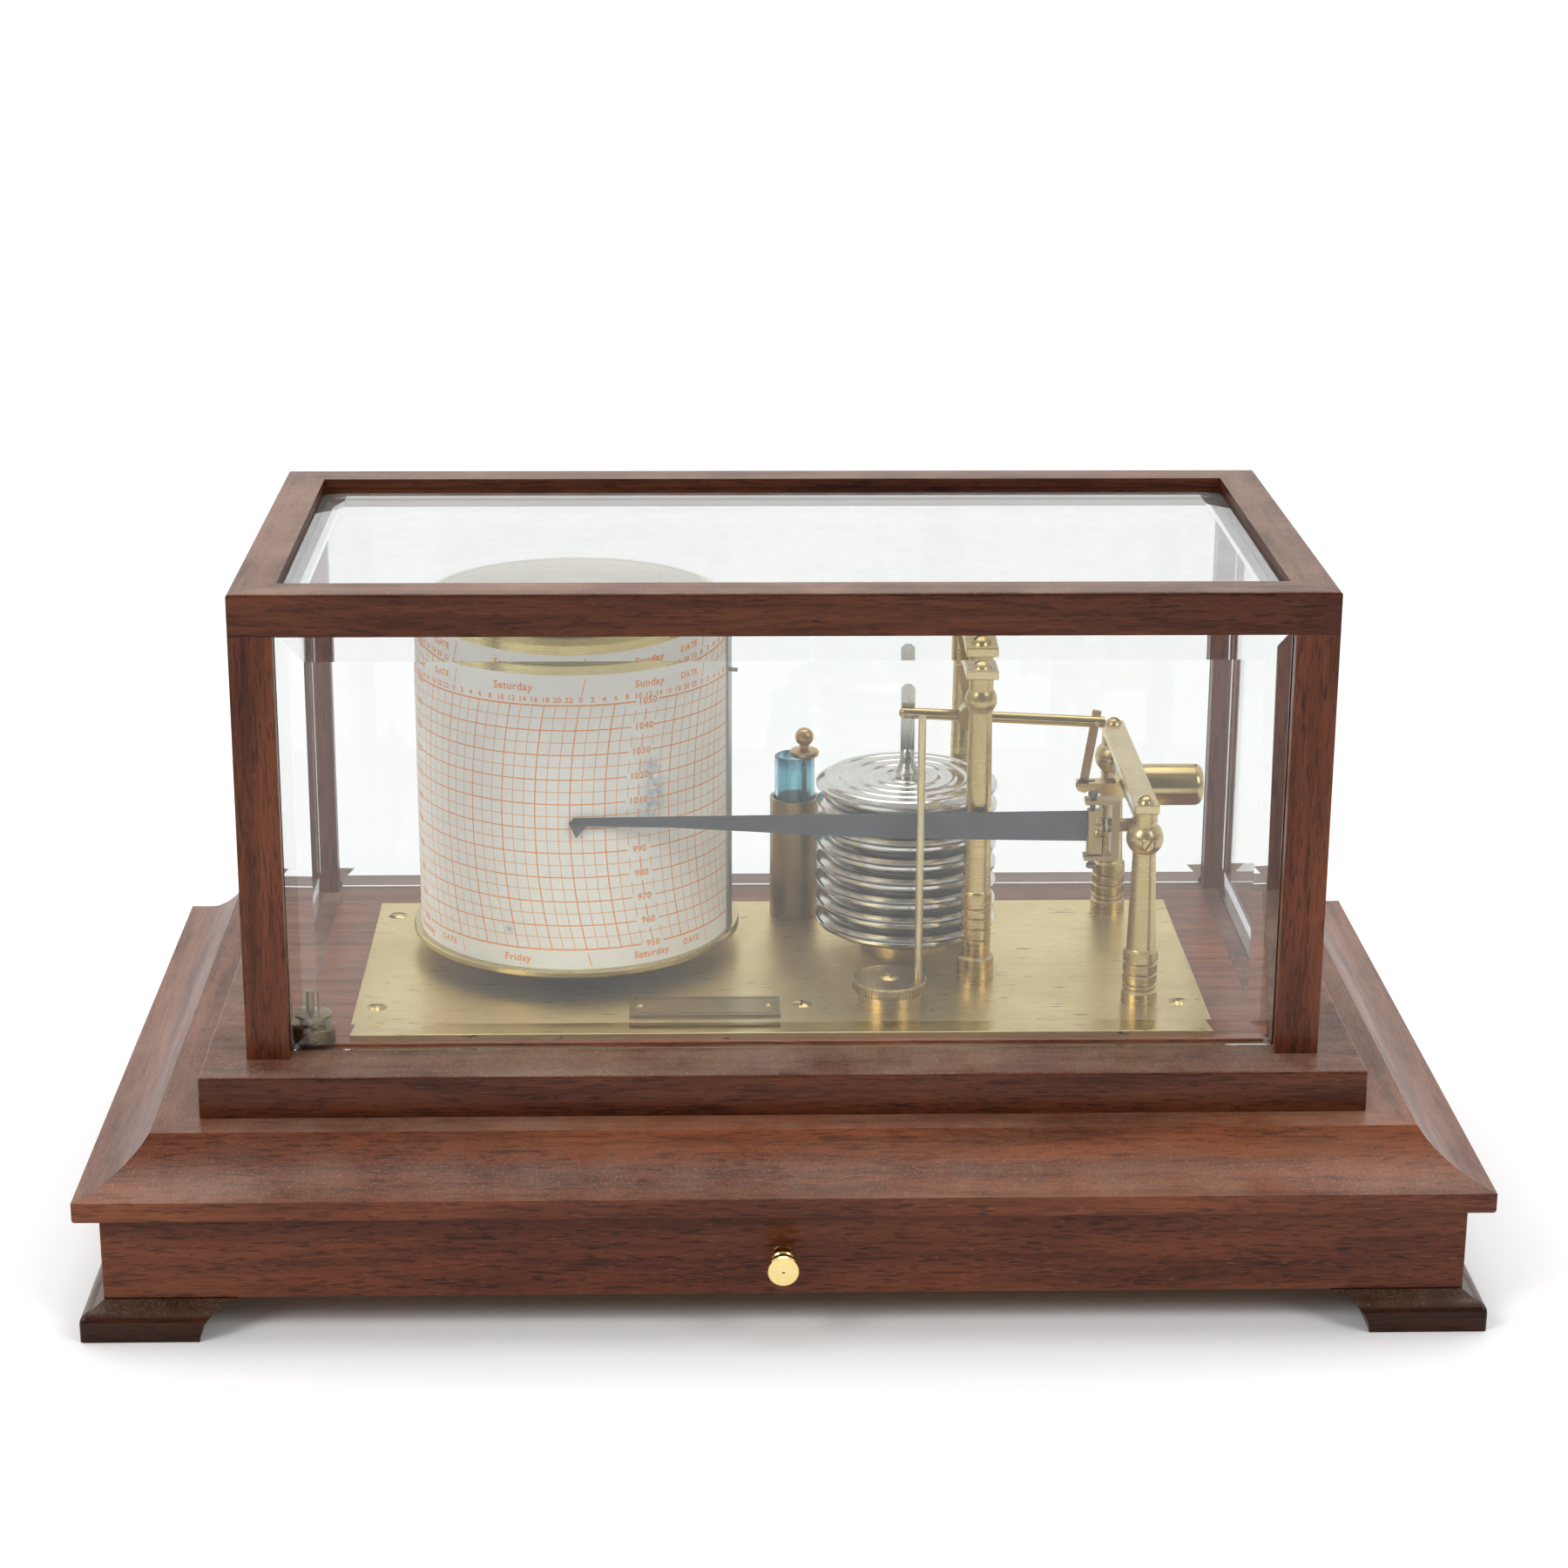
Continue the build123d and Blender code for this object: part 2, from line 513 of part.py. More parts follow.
def clock_movement():
    """Two plates, their pillars and the mainspring barrel, inside the drum."""
    low = TOP + DRUM_GAP + FLANGE_H
    plates = []
    for z in (low + 2.5, low + 22.5):
        plate = post(DRUM_X, DRUM_Y, z, z + 1.6, 33) - post(DRUM_X, DRUM_Y, z - 1, z + 3, 5.3)
        plates.append(plate - post(DRUM_X, DRUM_Y + GEAR_DISTANCE, z - 1, z + 3, 1.0 + RUN))
    pillars = []
    for turn in (35, 145, 215, 325):
        x, y = DRUM_X + 28 * cos(radians(turn)), DRUM_Y + 28 * sin(radians(turn))
        pillars.append(post(x, y, low, low + 2.5, 2.4))
        pillars.append(post(x, y, low + 4.1, low + 22.5, 2.4))
    barrel = post(DRUM_X, DRUM_Y - 19, low + 6, low + 19, 13)
    arbor = post(DRUM_X, DRUM_Y - 19, low + 4.1, low + 6, 2)
    return plates + pillars + [barrel + arbor + post(DRUM_X, DRUM_Y - 19, low + 19, low + 22.5, 2)]


# ---------------------------------------------------------------- aneroid stack
def capsule():
    """One corrugated capsule about its middle plane, with its joining studs."""
    half, pitch = CAPSULE_HALF, CAPSULE_PITCH / 2
    rings = 4
    inner, outer = 5.0, CAPSULE_R - 1.8
    step = (outer - inner) / rings
    crest, dip = half, half - 0.55
    upper = Polyline((0, pitch), (3.2, pitch), (3.2, half), (inner, half))
    for i in range(rings):
        r = inner + i * step
        start = crest if i == 0 else dip
        trough = ThreePointArc((r, start), (r + step * 0.2, dip - 0.05), (r + step * 0.4, dip))
        ridge = ThreePointArc((r + step * 0.4, dip), (r + step * 0.7, crest), (r + step, dip))
        upper = upper + trough + ridge
    upper = upper + Polyline((outer, dip), (CAPSULE_R - 0.9, 0.75), (CAPSULE_R - 0.2, 0.6),
                             (CAPSULE_R, 0.35), (CAPSULE_R, 0), (0, 0), (0, pitch))
    top = revolve(Plane.XZ * make_face(upper), Axis.Z, 360)
    return top + mirror(top, Plane.XY)


def aneroid_capsules():
    """The stack of evacuated capsules, as separate solids stud to stud."""
    one = capsule()
    return [Pos(STACK_X, STACK_Y, TOP + LOWEST_RIM + i * CAPSULE_PITCH) * one for i in range(CAPSULES)]


def aneroid_mount():
    """The turned foot that carries the stack."""
    outline = [(0, 0), (13, 0), (13, 2.2), (12.4, 2.8), (5.5, 3.0), (5.0, 3.6), (5.0, STACK_LOW),
               (0, STACK_LOW)]
    return Pos(STACK_X, STACK_Y, TOP) * turned(outline)


def capsule_stem():
    """The bell on top of the stack and the steel strip that rises past the beam."""
    z0 = STACK_HIGH
    bell = turned([(0, z0), (3.7, z0), (3.7, z0 + 0.9), (2.9, z0 + 2.0), (2.3, z0 + 3.6), (2.0, z0 + 5.4),
                   (2.0, z0 + 7.0), (1.6, z0 + 7.8), (0, z0 + 7.8)])
    strip = block(-2.05, 2.05, -0.4, 0.4, z0 + 5, 80.9)
    strip = chamfer(strip.edges().filter_by(Axis.Y).group_by(Axis.Z)[-1], 1.2)
    strip -= rod_y(0, -2, 2, BEAM_PIN_H, BEAM_PIN_R + 0.2)
    return Pos(STACK_X, STACK_Y, TOP) * (bell + strip)


# --------------------------------------------------------------- turned columns
def column(foot, barrel_r, barrel, grooves, shaft, ball, neck, bridge):
    """A turned column: foot, grooved barrel, tapered shaft, ball and neck.

    foot and barrel are (radius, top) pairs, shaft is (lower radius, upper radius), ball is
    (radius, centre height), and bridge is the height of the plate that it carries.
    """
    foot_r, foot_h = foot
    shaft_low, shaft_high = shaft
    ball_r, ball_h = ball
    outline = [(0, 0), (foot_r, 0), (foot_r, foot_h - 0.8), (foot_r - 0.8, foot_h)]
    outline += [(barrel_r - 0.3, foot_h)]
    for groove in grooves:
        outline += [(barrel_r, groove - 1.0), (barrel_r, groove - 0.45), (barrel_r - 0.55, groove),
                    (barrel_r, groove + 0.45)]
    outline += [(barrel_r, barrel - 0.7), (shaft_low + 0.1, barrel), (shaft_low, barrel + 0.2),
                (shaft_high, ball_h - ball_r + 1.2), (shaft_high + 0.35, ball_h - ball_r + 1.5),
                (shaft_high, ball_h), (neck, ball_h), (neck, bridge), (0, bridge)]
    body = turned(outline) + Pos(0, 0, ball_h) * Sphere(ball_r)
    return body - post(0, 0, bridge - 6, bridge, 1.5 + RUN)


def tall_column(y):
    """A tall column, with a blind pivot hole facing its twin."""
    body = column((5.35, 8.2), 4.35, 27.9, (13.4, 16.8, 20.0, 23.0), (4.0, 3.3), (4.6, TALL_BALL), 3.5,
                  TALL_BRIDGE)
    inward = 1 if y < 0 else -1
    hole = sorted((inward * 1.0, inward * 6.0))
    body -= rod_y(0, *hole, BEAM_H, 0.5 + RUN)
    return Pos(BEAM_X, y, TOP) * body


def short_column(y):
    """A short column; its ball is bored for the pivot screw."""
    body = column((5.2, 4.4), 5.0, 16.4, (6.0, 9.2, 12.4), (4.2, 3.3), (5.3, PEN_H), 3.4, SHORT_BRIDGE)
    body -= rod_y(0, -8, 8, PEN_H, 1.5 + RUN)
    return Pos(PEN_X, y, TOP) * body


def bridge(x, y0, y1, width, z, thick, overhang):
    """A flat bar across two columns, drilled for its screws."""
    bar = block(x - width / 2, x + width / 2, y0 - overhang, y1 + overhang, TOP + z, TOP + z + thick)
    bar = chamfer(bar.edges(), 0.3)
    for y in (y0, y1):
        bar -= post(x, y, TOP + z, TOP + z + thick, 1.5 + RUN)
    return bar


def column_screws():
    """Four domed bridge screws and the two pivot screws of the pen arbor."""
    group = []
    for x, z, r, rows in ((BEAM_X, TALL_BRIDGE, 3.1, (TALL_FRONT_Y, TALL_REAR_Y)),
                          (PEN_X, SHORT_BRIDGE, 2.6, (SHORT_FRONT_Y, SHORT_REAR_Y))):
        for y in rows:
            screw = domed_screw(r, 1.9, 1.5, 5.5)
            group.append(Pos(x, y, TOP + z + BRIDGE_T) * Rot(0, 0, 20 if y < 0 else -35) * screw)
    for y, outward in ((SHORT_FRONT_Y, -1), (SHORT_REAR_Y, 1)):
        span = sorted((y - outward * 3.4, y + outward * 7.6))
        screw = rod_y(PEN_X, *span, TOP + PEN_H, 1.5)
        tip = sorted((y - outward * 3.4, y - outward * 0.8))
        screw -= rod_y(PEN_X, *tip, TOP + PEN_H, 0.5 + RUN)
        slot = sorted((y + outward * 6.7, y + outward * 8))
        cut = block(-0.3, 0.3, *slot, -2, 2)
        group.append(screw - Pos(PEN_X, 0, TOP + PEN_H) * Rot(0, 35, 0) * cut)
    return group


# -------------------------------------------------------------- linkage and pen
def pivoted_arbor(x, y0, y1, z, r):
    """An arbor along Y with a thin pivot at each end."""
    return rod_y(x, y0, y1, z, r) + rod_y(x, y0 - 1.9, y1 + 1.9, z, 0.5)


def main_beam():
    """Beam rod, its hub and index strip, built level and then set to its slope."""
    rod = rod_x(-BEAM_LEFT + BEAM_R, BEAM_RIGHT, 0, 0, BEAM_R)
    rod += Pos(-BEAM_LEFT + BEAM_R, 0, 0) * Sphere(BEAM_R)
    rod += rod_y(0, -2.5, 2.5, 0, 4.1)
    rod += rod_y(-(BEAM_X - STACK_X) / cos(radians(BEAM_SLOPE)), -2.2, STACK_Y - BEAM_Y, 0, BEAM_PIN_R)
    rod += rod_y(LINK_TOP, -1.9, LINK_Y - BEAM_Y + 1.0, 0, 0.7)
    rod += Rot(0, -14 - BEAM_SLOPE, 0) * block(-1.2, 1.2, -0.4, 0.4, 3.5, 16.2)
    rod -= rod_y(0, -4, 4, 0, MAIN_ARBOR_R)
    return Pos(BEAM_X, BEAM_Y, TOP + BEAM_H) * Rot(0, BEAM_SLOPE, 0) * rod


def link_pins():
    """The rest places of the upper and lower link pins, (x, height)."""
    slope = radians(BEAM_SLOPE)
    upper = (BEAM_X + LINK_TOP * cos(slope), BEAM_H - LINK_TOP * sin(slope))
    return upper, (PEN_X - LEVER_ARM, PEN_H)


def link():
    """The flat link; its lower eye is open by LINK_SLACK all round."""
    (x1, h1), (x0, h0) = link_pins()
    length = hypot(x1 - x0, h1 - h0)
    lean = degrees(atan2(x1 - x0, h1 - h0))
    y0, y1 = -LINK_T / 2, LINK_T / 2
    bar = block(-1.3, 1.3, y0, y1, 0, length + 2.8)
    bar += rod_y(0, y0, y1, 0, 2.2)
    bar -= rod_y(0, y0 - 1, y1 + 1, length, 0.7 + RUN)
    bar -= rod_y(0, y0 - 1, y1 + 1, 0, 0.7 + LINK_SLACK)
    return Pos(x0, LINK_Y, TOP + h0) * Rot(0, lean, 0) * bar


def pen_lever():
    """Forked lever on the pen arbor, its hub and the stub that holds the counterweight."""
    y0, y1 = 5.4, 10.6
    plate = Polyline((-13.9, 1.0), (-13.9, -1.2), (-9.0, -1.2), (-4.5, -3.4), (1.5, -3.4), (1.5, 1.2),
                     (-9.0, 1.2), (-13.9, 1.0))
    lever = Pos(0, y1, 0) * extrude(Plane.XZ * make_face(plate), y1 - y0)
    lever -= block(-16, -8.6, LINK_Y - 0.9, LINK_Y + 0.9, -4, 4)
    lever += rod_y(0, y0, 12.4, 0, 2.7)
    lever += rod_y(-LEVER_ARM, y0 - 0.5, y1, 0, 0.7)
    lever += rod_y(-LEVER_ARM, y0 - 0.9, y0, 0, 1.4)
    lever += rod_x(1, 5.2, LINK_Y, 0, 1.3)
    lever -= rod_y(0, y0 - 1, 13, 0, PEN_ARBOR_R)
    return Pos(PEN_X, 0, TOP + PEN_H) * lever


def counterweight():
    """The brass balance weight on the lever's right-hand stub."""
    body = rod_x(4.4, 23.5, LINK_Y, 0, 6.2)
    body = fillet(body.edges().sort_by(Axis.X)[-1], 2.6)
    body = chamfer(body.edges().sort_by(Axis.X)[0], 0.8)
    body -= rod_x(4, 5.2, LINK_Y, 0, 1.3)
    return Pos(PEN_X, 0, TOP + PEN_H) * body


def gate_bracket():
    """The C-shaped bracket on the pen arbor that carries the pen's upright pivots."""
    y0, y1 = -32.1, -27.7
    web = block(-8.4, -6.1, y0, y1, -10.1, 8.0)
    tabs = block(-16.0, -6.1, y0, y1, 6.7, 8.0) + block(-16.0, -6.1, y0, y1, -10.1, -8.8)
    bracket = web + tabs + rod_x(-6.2, 0, GATE_Y, 0, 1.9) + rod_x(-9.6, -8.4, GATE_Y, 0, 2.1)
    bracket += rod_y(0, y0 - 0.3, y1 + 0.3, 0, 2.5)
    bracket -= rod_y(0, y0 - 2, y1 + 2, 0, PEN_ARBOR_R)
    bracket -= post(GATE_X - PEN_X, GATE_Y, -12, 10, 0.8)
    return Pos(PEN_X, 0, TOP + PEN_H) * bracket


def gate_pivots():
    """The two pivot screws of the gate, head outwards, tips in the pen block."""
    upper = turned([(0, 3.4), (0.5, 3.4), (0.5, 5.0), (0.8, 5.2), (0.8, 8.9), (1.4, 8.9),
                    (1.4, 10.0), (0, 10.0)])
    lower = turned([(0, -6.4), (0.5, -6.4), (0.5, -8.3), (0.8, -8.5), (0.8, -11.6), (1.4, -11.6),
                    (1.4, -12.7), (0, -12.7)])
    upper -= block(-2, 2, -0.25, 0.25, 9.4, 11)
    lower -= block(-2, 2, -0.25, 0.25, -14, -12.1)
    place = Pos(GATE_X, GATE_Y, TOP + PEN_H)
    return [place * upper, place * lower]


def pen_block():
    """The small brass block that swings between the gate's pivots."""
    body = block(-1.5, 3.0, -1.8, 1.2, -8.2, 4.8)
    body = chamfer(body.edges().filter_by(Axis.Z), 0.3)
    body -= post(0, 0, 3.2, 5, 0.5 + RUN)
    body -= post(0, 0, -9, -6.2, 0.5 + RUN)
    for h in BLOCK_SCREWS:
        body -= rod_y(1.55, -1.8, 1.2, h, 0.6)
    return Pos(GATE_X, GATE_Y, TOP + PEN_H) * Rot(0, 0, ARM_SLOPE) * body


def block_screws():
    """The two slotted screws that clamp the pen arm to its block."""
    group = []
    for h, turn in zip(BLOCK_SCREWS, (20, -40)):
        screw = Rot(90, 0, 0) * Rot(0, 0, turn) * domed_screw(1.3, 0.7, 0.6, 3.0, 0.35)
        screw = Pos(1.55, -1.8, h) * screw
        group.append(Pos(GATE_X, GATE_Y, TOP + PEN_H) * Rot(0, 0, ARM_SLOPE) * screw)
    return group


def pen_arm():
    """The long tapered steel strip, leaning forward by ARM_SLOPE."""
    thin = 0.35
    outline = Polyline((3.0, 3.9), (3.0, -5.3), (-60, -3.4), (-120, 0.9), (-ARM_LENGTH + 3.5, 1.8),
                       (-ARM_LENGTH - 0.4, 1.8), (-ARM_LENGTH - 1.8, 2.6), (-ARM_LENGTH - 0.4, 4.2),
                       (-120, 4.2), (3.0, 3.9))
    arm = extrude(Plane.XZ * make_face(outline), -thin)
    arm = Pos(0, 1.2, 0) * arm
    return Pos(GATE_X, GATE_Y, TOP + PEN_H) * Rot(0, 0, ARM_SLOPE) * arm


def pen_nib():
    """The folded triangular bucket that carries the ink, its tip just off the paper."""
    x = -ARM_LENGTH
    depth = 1.0
    outer = Polyline((x - 1.9, 2.6), (x + 3.5, 2.0), (x + 0.1, -1.9), (x - 1.9, 2.6))
    body = extrude(Plane.XZ * make_face(outer), -depth)
    hollow = Polyline((x - 1.5, 3.6), (x + 2.9, 3.0), (x + 0.1, -1.0), (x - 1.5, 3.6))
    body -= Pos(0, 0.25, 0) * extrude(Plane.XZ * make_face(hollow), 0.35 - depth)
    body = Pos(0, 1.55, 0) * body
    return Pos(GATE_X, GATE_Y, TOP + PEN_H) * Rot(0, 0, ARM_SLOPE) * body


# ------------------------------------------------------------------- pen lifter
def lifter_knob():
    """The knurled disc that turns the lifter rod about its own upright axis."""
    knob = turned([(1.5 + RUN, 0), (9.3, 0), (9.3, 4.2), (10.4, 4.5), (10.8, 4.9), (10.8, 7.2),
                   (10.3, 7.7), (1.5 + RUN, 7.7)])
    teeth = 60
    for i in range(teeth):
        knob -= Rot(0, 0, 360 * i / teeth) * block(10.5, 11.5, -0.2, 0.2, 4.9, 7.2)
    hole = Rot(0, 0, LIFTER_ANGLE) * post(LIFTER_REACH, 0, 4, 9, 1.1)
    return Pos(LIFTER_X, LIFTER_Y, TOP) * (knob - hole)


def lifter_rod():
    """The upright rod that the pen arm is held off by."""
    rod = post(LIFTER_REACH, 0, 4, 86.5, 1.1)
    rod = chamfer(rod.edges().sort_by(Axis.Z)[-1], 0.3)
    return Pos(LIFTER_X, LIFTER_Y, TOP) * Rot(0, 0, LIFTER_ANGLE) * rod


# --------------------------------------------------------------------- assembly
os.makedirs("parts", exist_ok=True)

sides, back, floor = base_walls()
write("bracket_feet", *bracket_feet())
write("base_sides", *sides)
write("base_back", back)
write("base_floor", floor)
write("drawer_runners", *drawer_runners())
write("cap_mouldings", *around(cap_moulding))
write("cap_panel", cap_panel())
write("plinth_board", slab(PLINTH_W, PLINTH_D, PLINTH_Z, CASE_Z, 0.8))
write("instrument_board", instrument_board())

drawer_front, drawer_sides, drawer_back, drawer_bottom, drawer_knob = drawer()
write("drawer_front", drawer_front)
write("drawer_sides", *drawer_sides)
write("drawer_back", drawer_back)
write("drawer_bottom", drawer_bottom)
write("drawer_knob", drawer_knob)

write("corner_posts", *corner_posts())
write("top_rails", *around(top_rail))
for name, sheet in panes().items():
    write(name, sheet)

write("bed_plate", bed_plate())
write("plate_fasteners", *plate_fasteners())
write("nameplate", nameplate())
write("ink_holder", ink_holder())
write("ink_bottle", ink_bottle())
write("ink_stopper", ink_stopper())
write("spare_thumb_screw", thumb_screw())

write("drum_spindle", spindle())
write("centre_wheel", centre_wheel())
write("drive_pinion", drive_pinion())
write("drum_shell", drum_shell())
write("drum_lid", drum_lid())
write("chart_paper", chart_paper())
write("chart_clip", chart_clip())
write("clock_movement", *clock_movement())

write("aneroid_mount", aneroid_mount())
write("aneroid_capsules", *aneroid_capsules())
write("capsule_stem", capsule_stem())

write("tall_column_front", tall_column(TALL_FRONT_Y))
write("tall_column_rear", tall_column(TALL_REAR_Y))
write("tall_bridge", bridge(BEAM_X, TALL_FRONT_Y, TALL_REAR_Y, 9.2, TALL_BRIDGE, BRIDGE_T, 4.6))
write("short_column_front", short_column(SHORT_FRONT_Y))
write("short_column_rear", short_column(SHORT_REAR_Y))
write("short_bridge", bridge(PEN_X, SHORT_FRONT_Y, SHORT_REAR_Y, 7.0, SHORT_BRIDGE, BRIDGE_T, 3.5))
write("column_screws", *column_screws())

tall_span = (TALL_FRONT_Y + 4.0, TALL_REAR_Y - 4.0)
write("main_arbor", pivoted_arbor(BEAM_X, *tall_span, TOP + BEAM_H, MAIN_ARBOR_R))
write("main_beam", main_beam())
write("link", link())
short_span = (SHORT_FRONT_Y + 5.6, SHORT_REAR_Y - 5.6)
write("pen_arbor", pivoted_arbor(PEN_X, *short_span, TOP + PEN_H, PEN_ARBOR_R))
write("pen_lever", pen_lever())
write("counterweight", counterweight())
write("gate_bracket", gate_bracket())
write("gate_pivots", *gate_pivots())
write("pen_block", pen_block())
write("block_screws", *block_screws())
write("pen_arm", pen_arm())
write("pen_nib", pen_nib())

write("lifter_knob", lifter_knob())
write("lifter_rod", lifter_rod())
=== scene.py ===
"""Looks, light and camera for the barograph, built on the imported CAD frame."""
import math

import bmesh
import bpy
from mathutils import Matrix, Vector


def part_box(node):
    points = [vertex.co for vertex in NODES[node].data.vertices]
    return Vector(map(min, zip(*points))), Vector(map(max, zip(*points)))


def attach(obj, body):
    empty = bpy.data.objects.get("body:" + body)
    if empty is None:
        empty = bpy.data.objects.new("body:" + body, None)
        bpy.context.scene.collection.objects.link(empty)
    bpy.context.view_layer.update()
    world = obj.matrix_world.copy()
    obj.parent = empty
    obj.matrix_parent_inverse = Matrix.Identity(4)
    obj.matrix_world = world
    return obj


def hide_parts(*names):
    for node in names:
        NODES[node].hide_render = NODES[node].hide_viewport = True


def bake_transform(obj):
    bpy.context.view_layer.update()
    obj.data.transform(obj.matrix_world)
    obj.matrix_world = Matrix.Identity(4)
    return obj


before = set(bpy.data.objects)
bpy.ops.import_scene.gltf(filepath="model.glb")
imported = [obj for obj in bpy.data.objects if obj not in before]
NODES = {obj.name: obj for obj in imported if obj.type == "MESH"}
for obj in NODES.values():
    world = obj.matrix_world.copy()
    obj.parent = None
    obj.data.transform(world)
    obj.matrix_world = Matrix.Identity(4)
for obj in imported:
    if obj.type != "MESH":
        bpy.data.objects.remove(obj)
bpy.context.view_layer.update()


def middle(node):
    """Centre of a CAD node's box at rest."""
    low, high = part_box(node)
    return (Vector(low) + Vector(high)) / 2


# ------------------------------------------------------------------ node helpers
class Graph:
    """A material's node tree, with short calls for the nodes used here."""

    def __init__(self, name):
        self.mat = bpy.data.materials.new(name)
        self.mat.use_nodes = True
        self.tree = self.mat.node_tree
        self.shader = self.tree.nodes["Principled BSDF"]
        self.out = self.tree.nodes["Material Output"]
        self.coords = self.tree.nodes.new("ShaderNodeTexCoord").outputs["Object"]
        split = self.tree.nodes.new("ShaderNodeSeparateXYZ")
        self.tree.links.new(self.coords, split.inputs[0])
        self.x, self.y, self.z = split.outputs

    def plug(self, value, socket):
        """Links a socket's value to an input, or sets a plain value on it."""
        if hasattr(value, "is_linked"):
            self.tree.links.new(value, socket)
        else:
            socket.default_value = value

    def set(self, **values):
        """Sets or links the shader's inputs, with _ for the spaces in their names."""
        for key, value in values.items():
            self.plug(value, self.shader.inputs[key.replace("_", " ")])

    def math(self, op, a, b=0.0, clamp=False):
        """The result of one Math node."""
        node = self.tree.nodes.new("ShaderNodeMath")
        node.operation = op
        node.use_clamp = clamp
        self.plug(a, node.inputs[0])
        self.plug(b, node.inputs[1])
        return node.outputs[0]

    def vector(self, x, y, z):
        """Three numbers as one vector."""
        node = self.tree.nodes.new("ShaderNodeCombineXYZ")
        for value, socket in zip((x, y, z), node.inputs):
            self.plug(value, socket)
        return node.outputs[0]

    def stretched(self, vector, sx, sy, sz, shift=0.0):
        """A vector scaled to noise cells per metre, and shifted so that like noises differ."""
        node = self.tree.nodes.new("ShaderNodeMapping")
        node.inputs["Scale"].default_value = (sx, sy, sz)
        node.inputs["Location"].default_value = (shift, shift * 0.7, shift * 1.3)
        self.tree.links.new(vector, node.inputs["Vector"])
        return node.outputs[0]

    def noise(self, vector, detail, roughness, distortion=0.0):
        """Fractal noise, about 0.5 on average."""
        node = self.tree.nodes.new("ShaderNodeTexNoise")
        node.inputs["Scale"].default_value = 1.0
        node.inputs["Detail"].default_value = detail
        node.inputs["Roughness"].default_value = roughness
        node.inputs["Distortion"].default_value = distortion
        self.tree.links.new(vector, node.inputs["Vector"])
        return node.outputs[0]

    def span(self, value, low, high, to_low=0.0, to_high=1.0):
        """value, from low..high to to_low..to_high, held at both ends."""
        node = self.tree.nodes.new("ShaderNodeMapRange")
        self.plug(value, node.inputs["Value"])
        limits = (("From Min", low), ("From Max", high), ("To Min", to_low), ("To Max", to_high))
        for key, number in limits:
            node.inputs[key].default_value = number
        return node.outputs[0]

    def mix(self, factor, a, b):
        """A colour: a where factor is 0, b where it is 1."""
        node = self.tree.nodes.new("ShaderNodeMix")
        node.data_type = "RGBA"
        self.plug(factor, node.inputs["Factor"])
        self.plug(a if hasattr(a, "is_linked") else (*a, 1.0), node.inputs[6])
        self.plug(b if hasattr(b, "is_linked") else (*b, 1.0), node.inputs[7])
        return node.outputs[2]

    def select(self, mask, a, b):
        """A number: a where mask is 0, b where it is 1."""
        node = self.tree.nodes.new("ShaderNodeMix")
        node.data_type = "FLOAT"
        self.plug(mask, node.inputs[0])
        self.plug(a, node.inputs[2])
        self.plug(b, node.inputs[3])
        return node.outputs[0]

    def mix_shaders(self, factor, a, b):
        """A shader: a where factor is 0, b where it is 1."""
        node = self.tree.nodes.new("ShaderNodeMixShader")
        for source, socket in zip((factor, a, b), node.inputs):
            self.tree.links.new(source, socket)
        return node.outputs[0]

    def facing_up(self):
        """The surface's upward part: 1 on a level top, 0 on a wall."""
        node = self.tree.nodes.new("ShaderNodeNewGeometry")
        split = self.tree.nodes.new("ShaderNodeSeparateXYZ")
        self.tree.links.new(node.outputs["Normal"], split.inputs[0])
        return split.outputs[2]

    def bump(self, height, strength, distance):
        """Drives the shader's normal from a height; distance is in metres."""
        node = self.tree.nodes.new("ShaderNodeBump")
        node.inputs["Strength"].default_value = strength
        node.inputs["Distance"].default_value = distance
        self.tree.links.new(height, node.inputs["Height"])
        self.tree.links.new(node.outputs[0], self.shader.inputs["Normal"])


def dress(graph, *nodes):
    """Gives CAD nodes this material."""
    for node in nodes:
        materials = NODES[node].data.materials
        materials.clear()
        materials.append(graph.mat)


# --------------------------------------------------------------------- materials
def grain_frame(g, along, corner=None):
    """Coordinates with the grain as the first number.  corner is mitre()'s result for a mitred frame: past
    the corner's diagonal the grain turns from X to Y."""
    if along == "x":
        return g.vector(g.x, g.y, g.z)
    if along == "y":
        return g.vector(g.y, g.x, g.z)
    if along == "z":
        return g.vector(g.z, g.x, g.y)
    past_x = g.math("SUBTRACT", g.math("ABSOLUTE", g.x), corner[0])
    past_y = g.math("SUBTRACT", g.math("ABSOLUTE", g.math("SUBTRACT", g.y, corner[2])), corner[1])
    side = g.math("GREATER_THAN", past_x, past_y)
    return g.vector(g.select(side, g.x, g.y), g.select(side, g.y, g.x), g.z)


WOOD_DARK = (0.030, 0.0085, 0.0045)
WOOD_WARM = (0.212, 0.062, 0.0240)
WOOD_RED = (0.125, 0.030, 0.0125)
WOOD_PORE = (0.018, 0.007, 0.0045)
WOOD_FLECK = (0.28, 0.10, 0.045)
# Pale tan of level tops: dust and a painted sheen together.
WOOD_DUST_AND_SHEEN = (0.47, 0.335, 0.25)


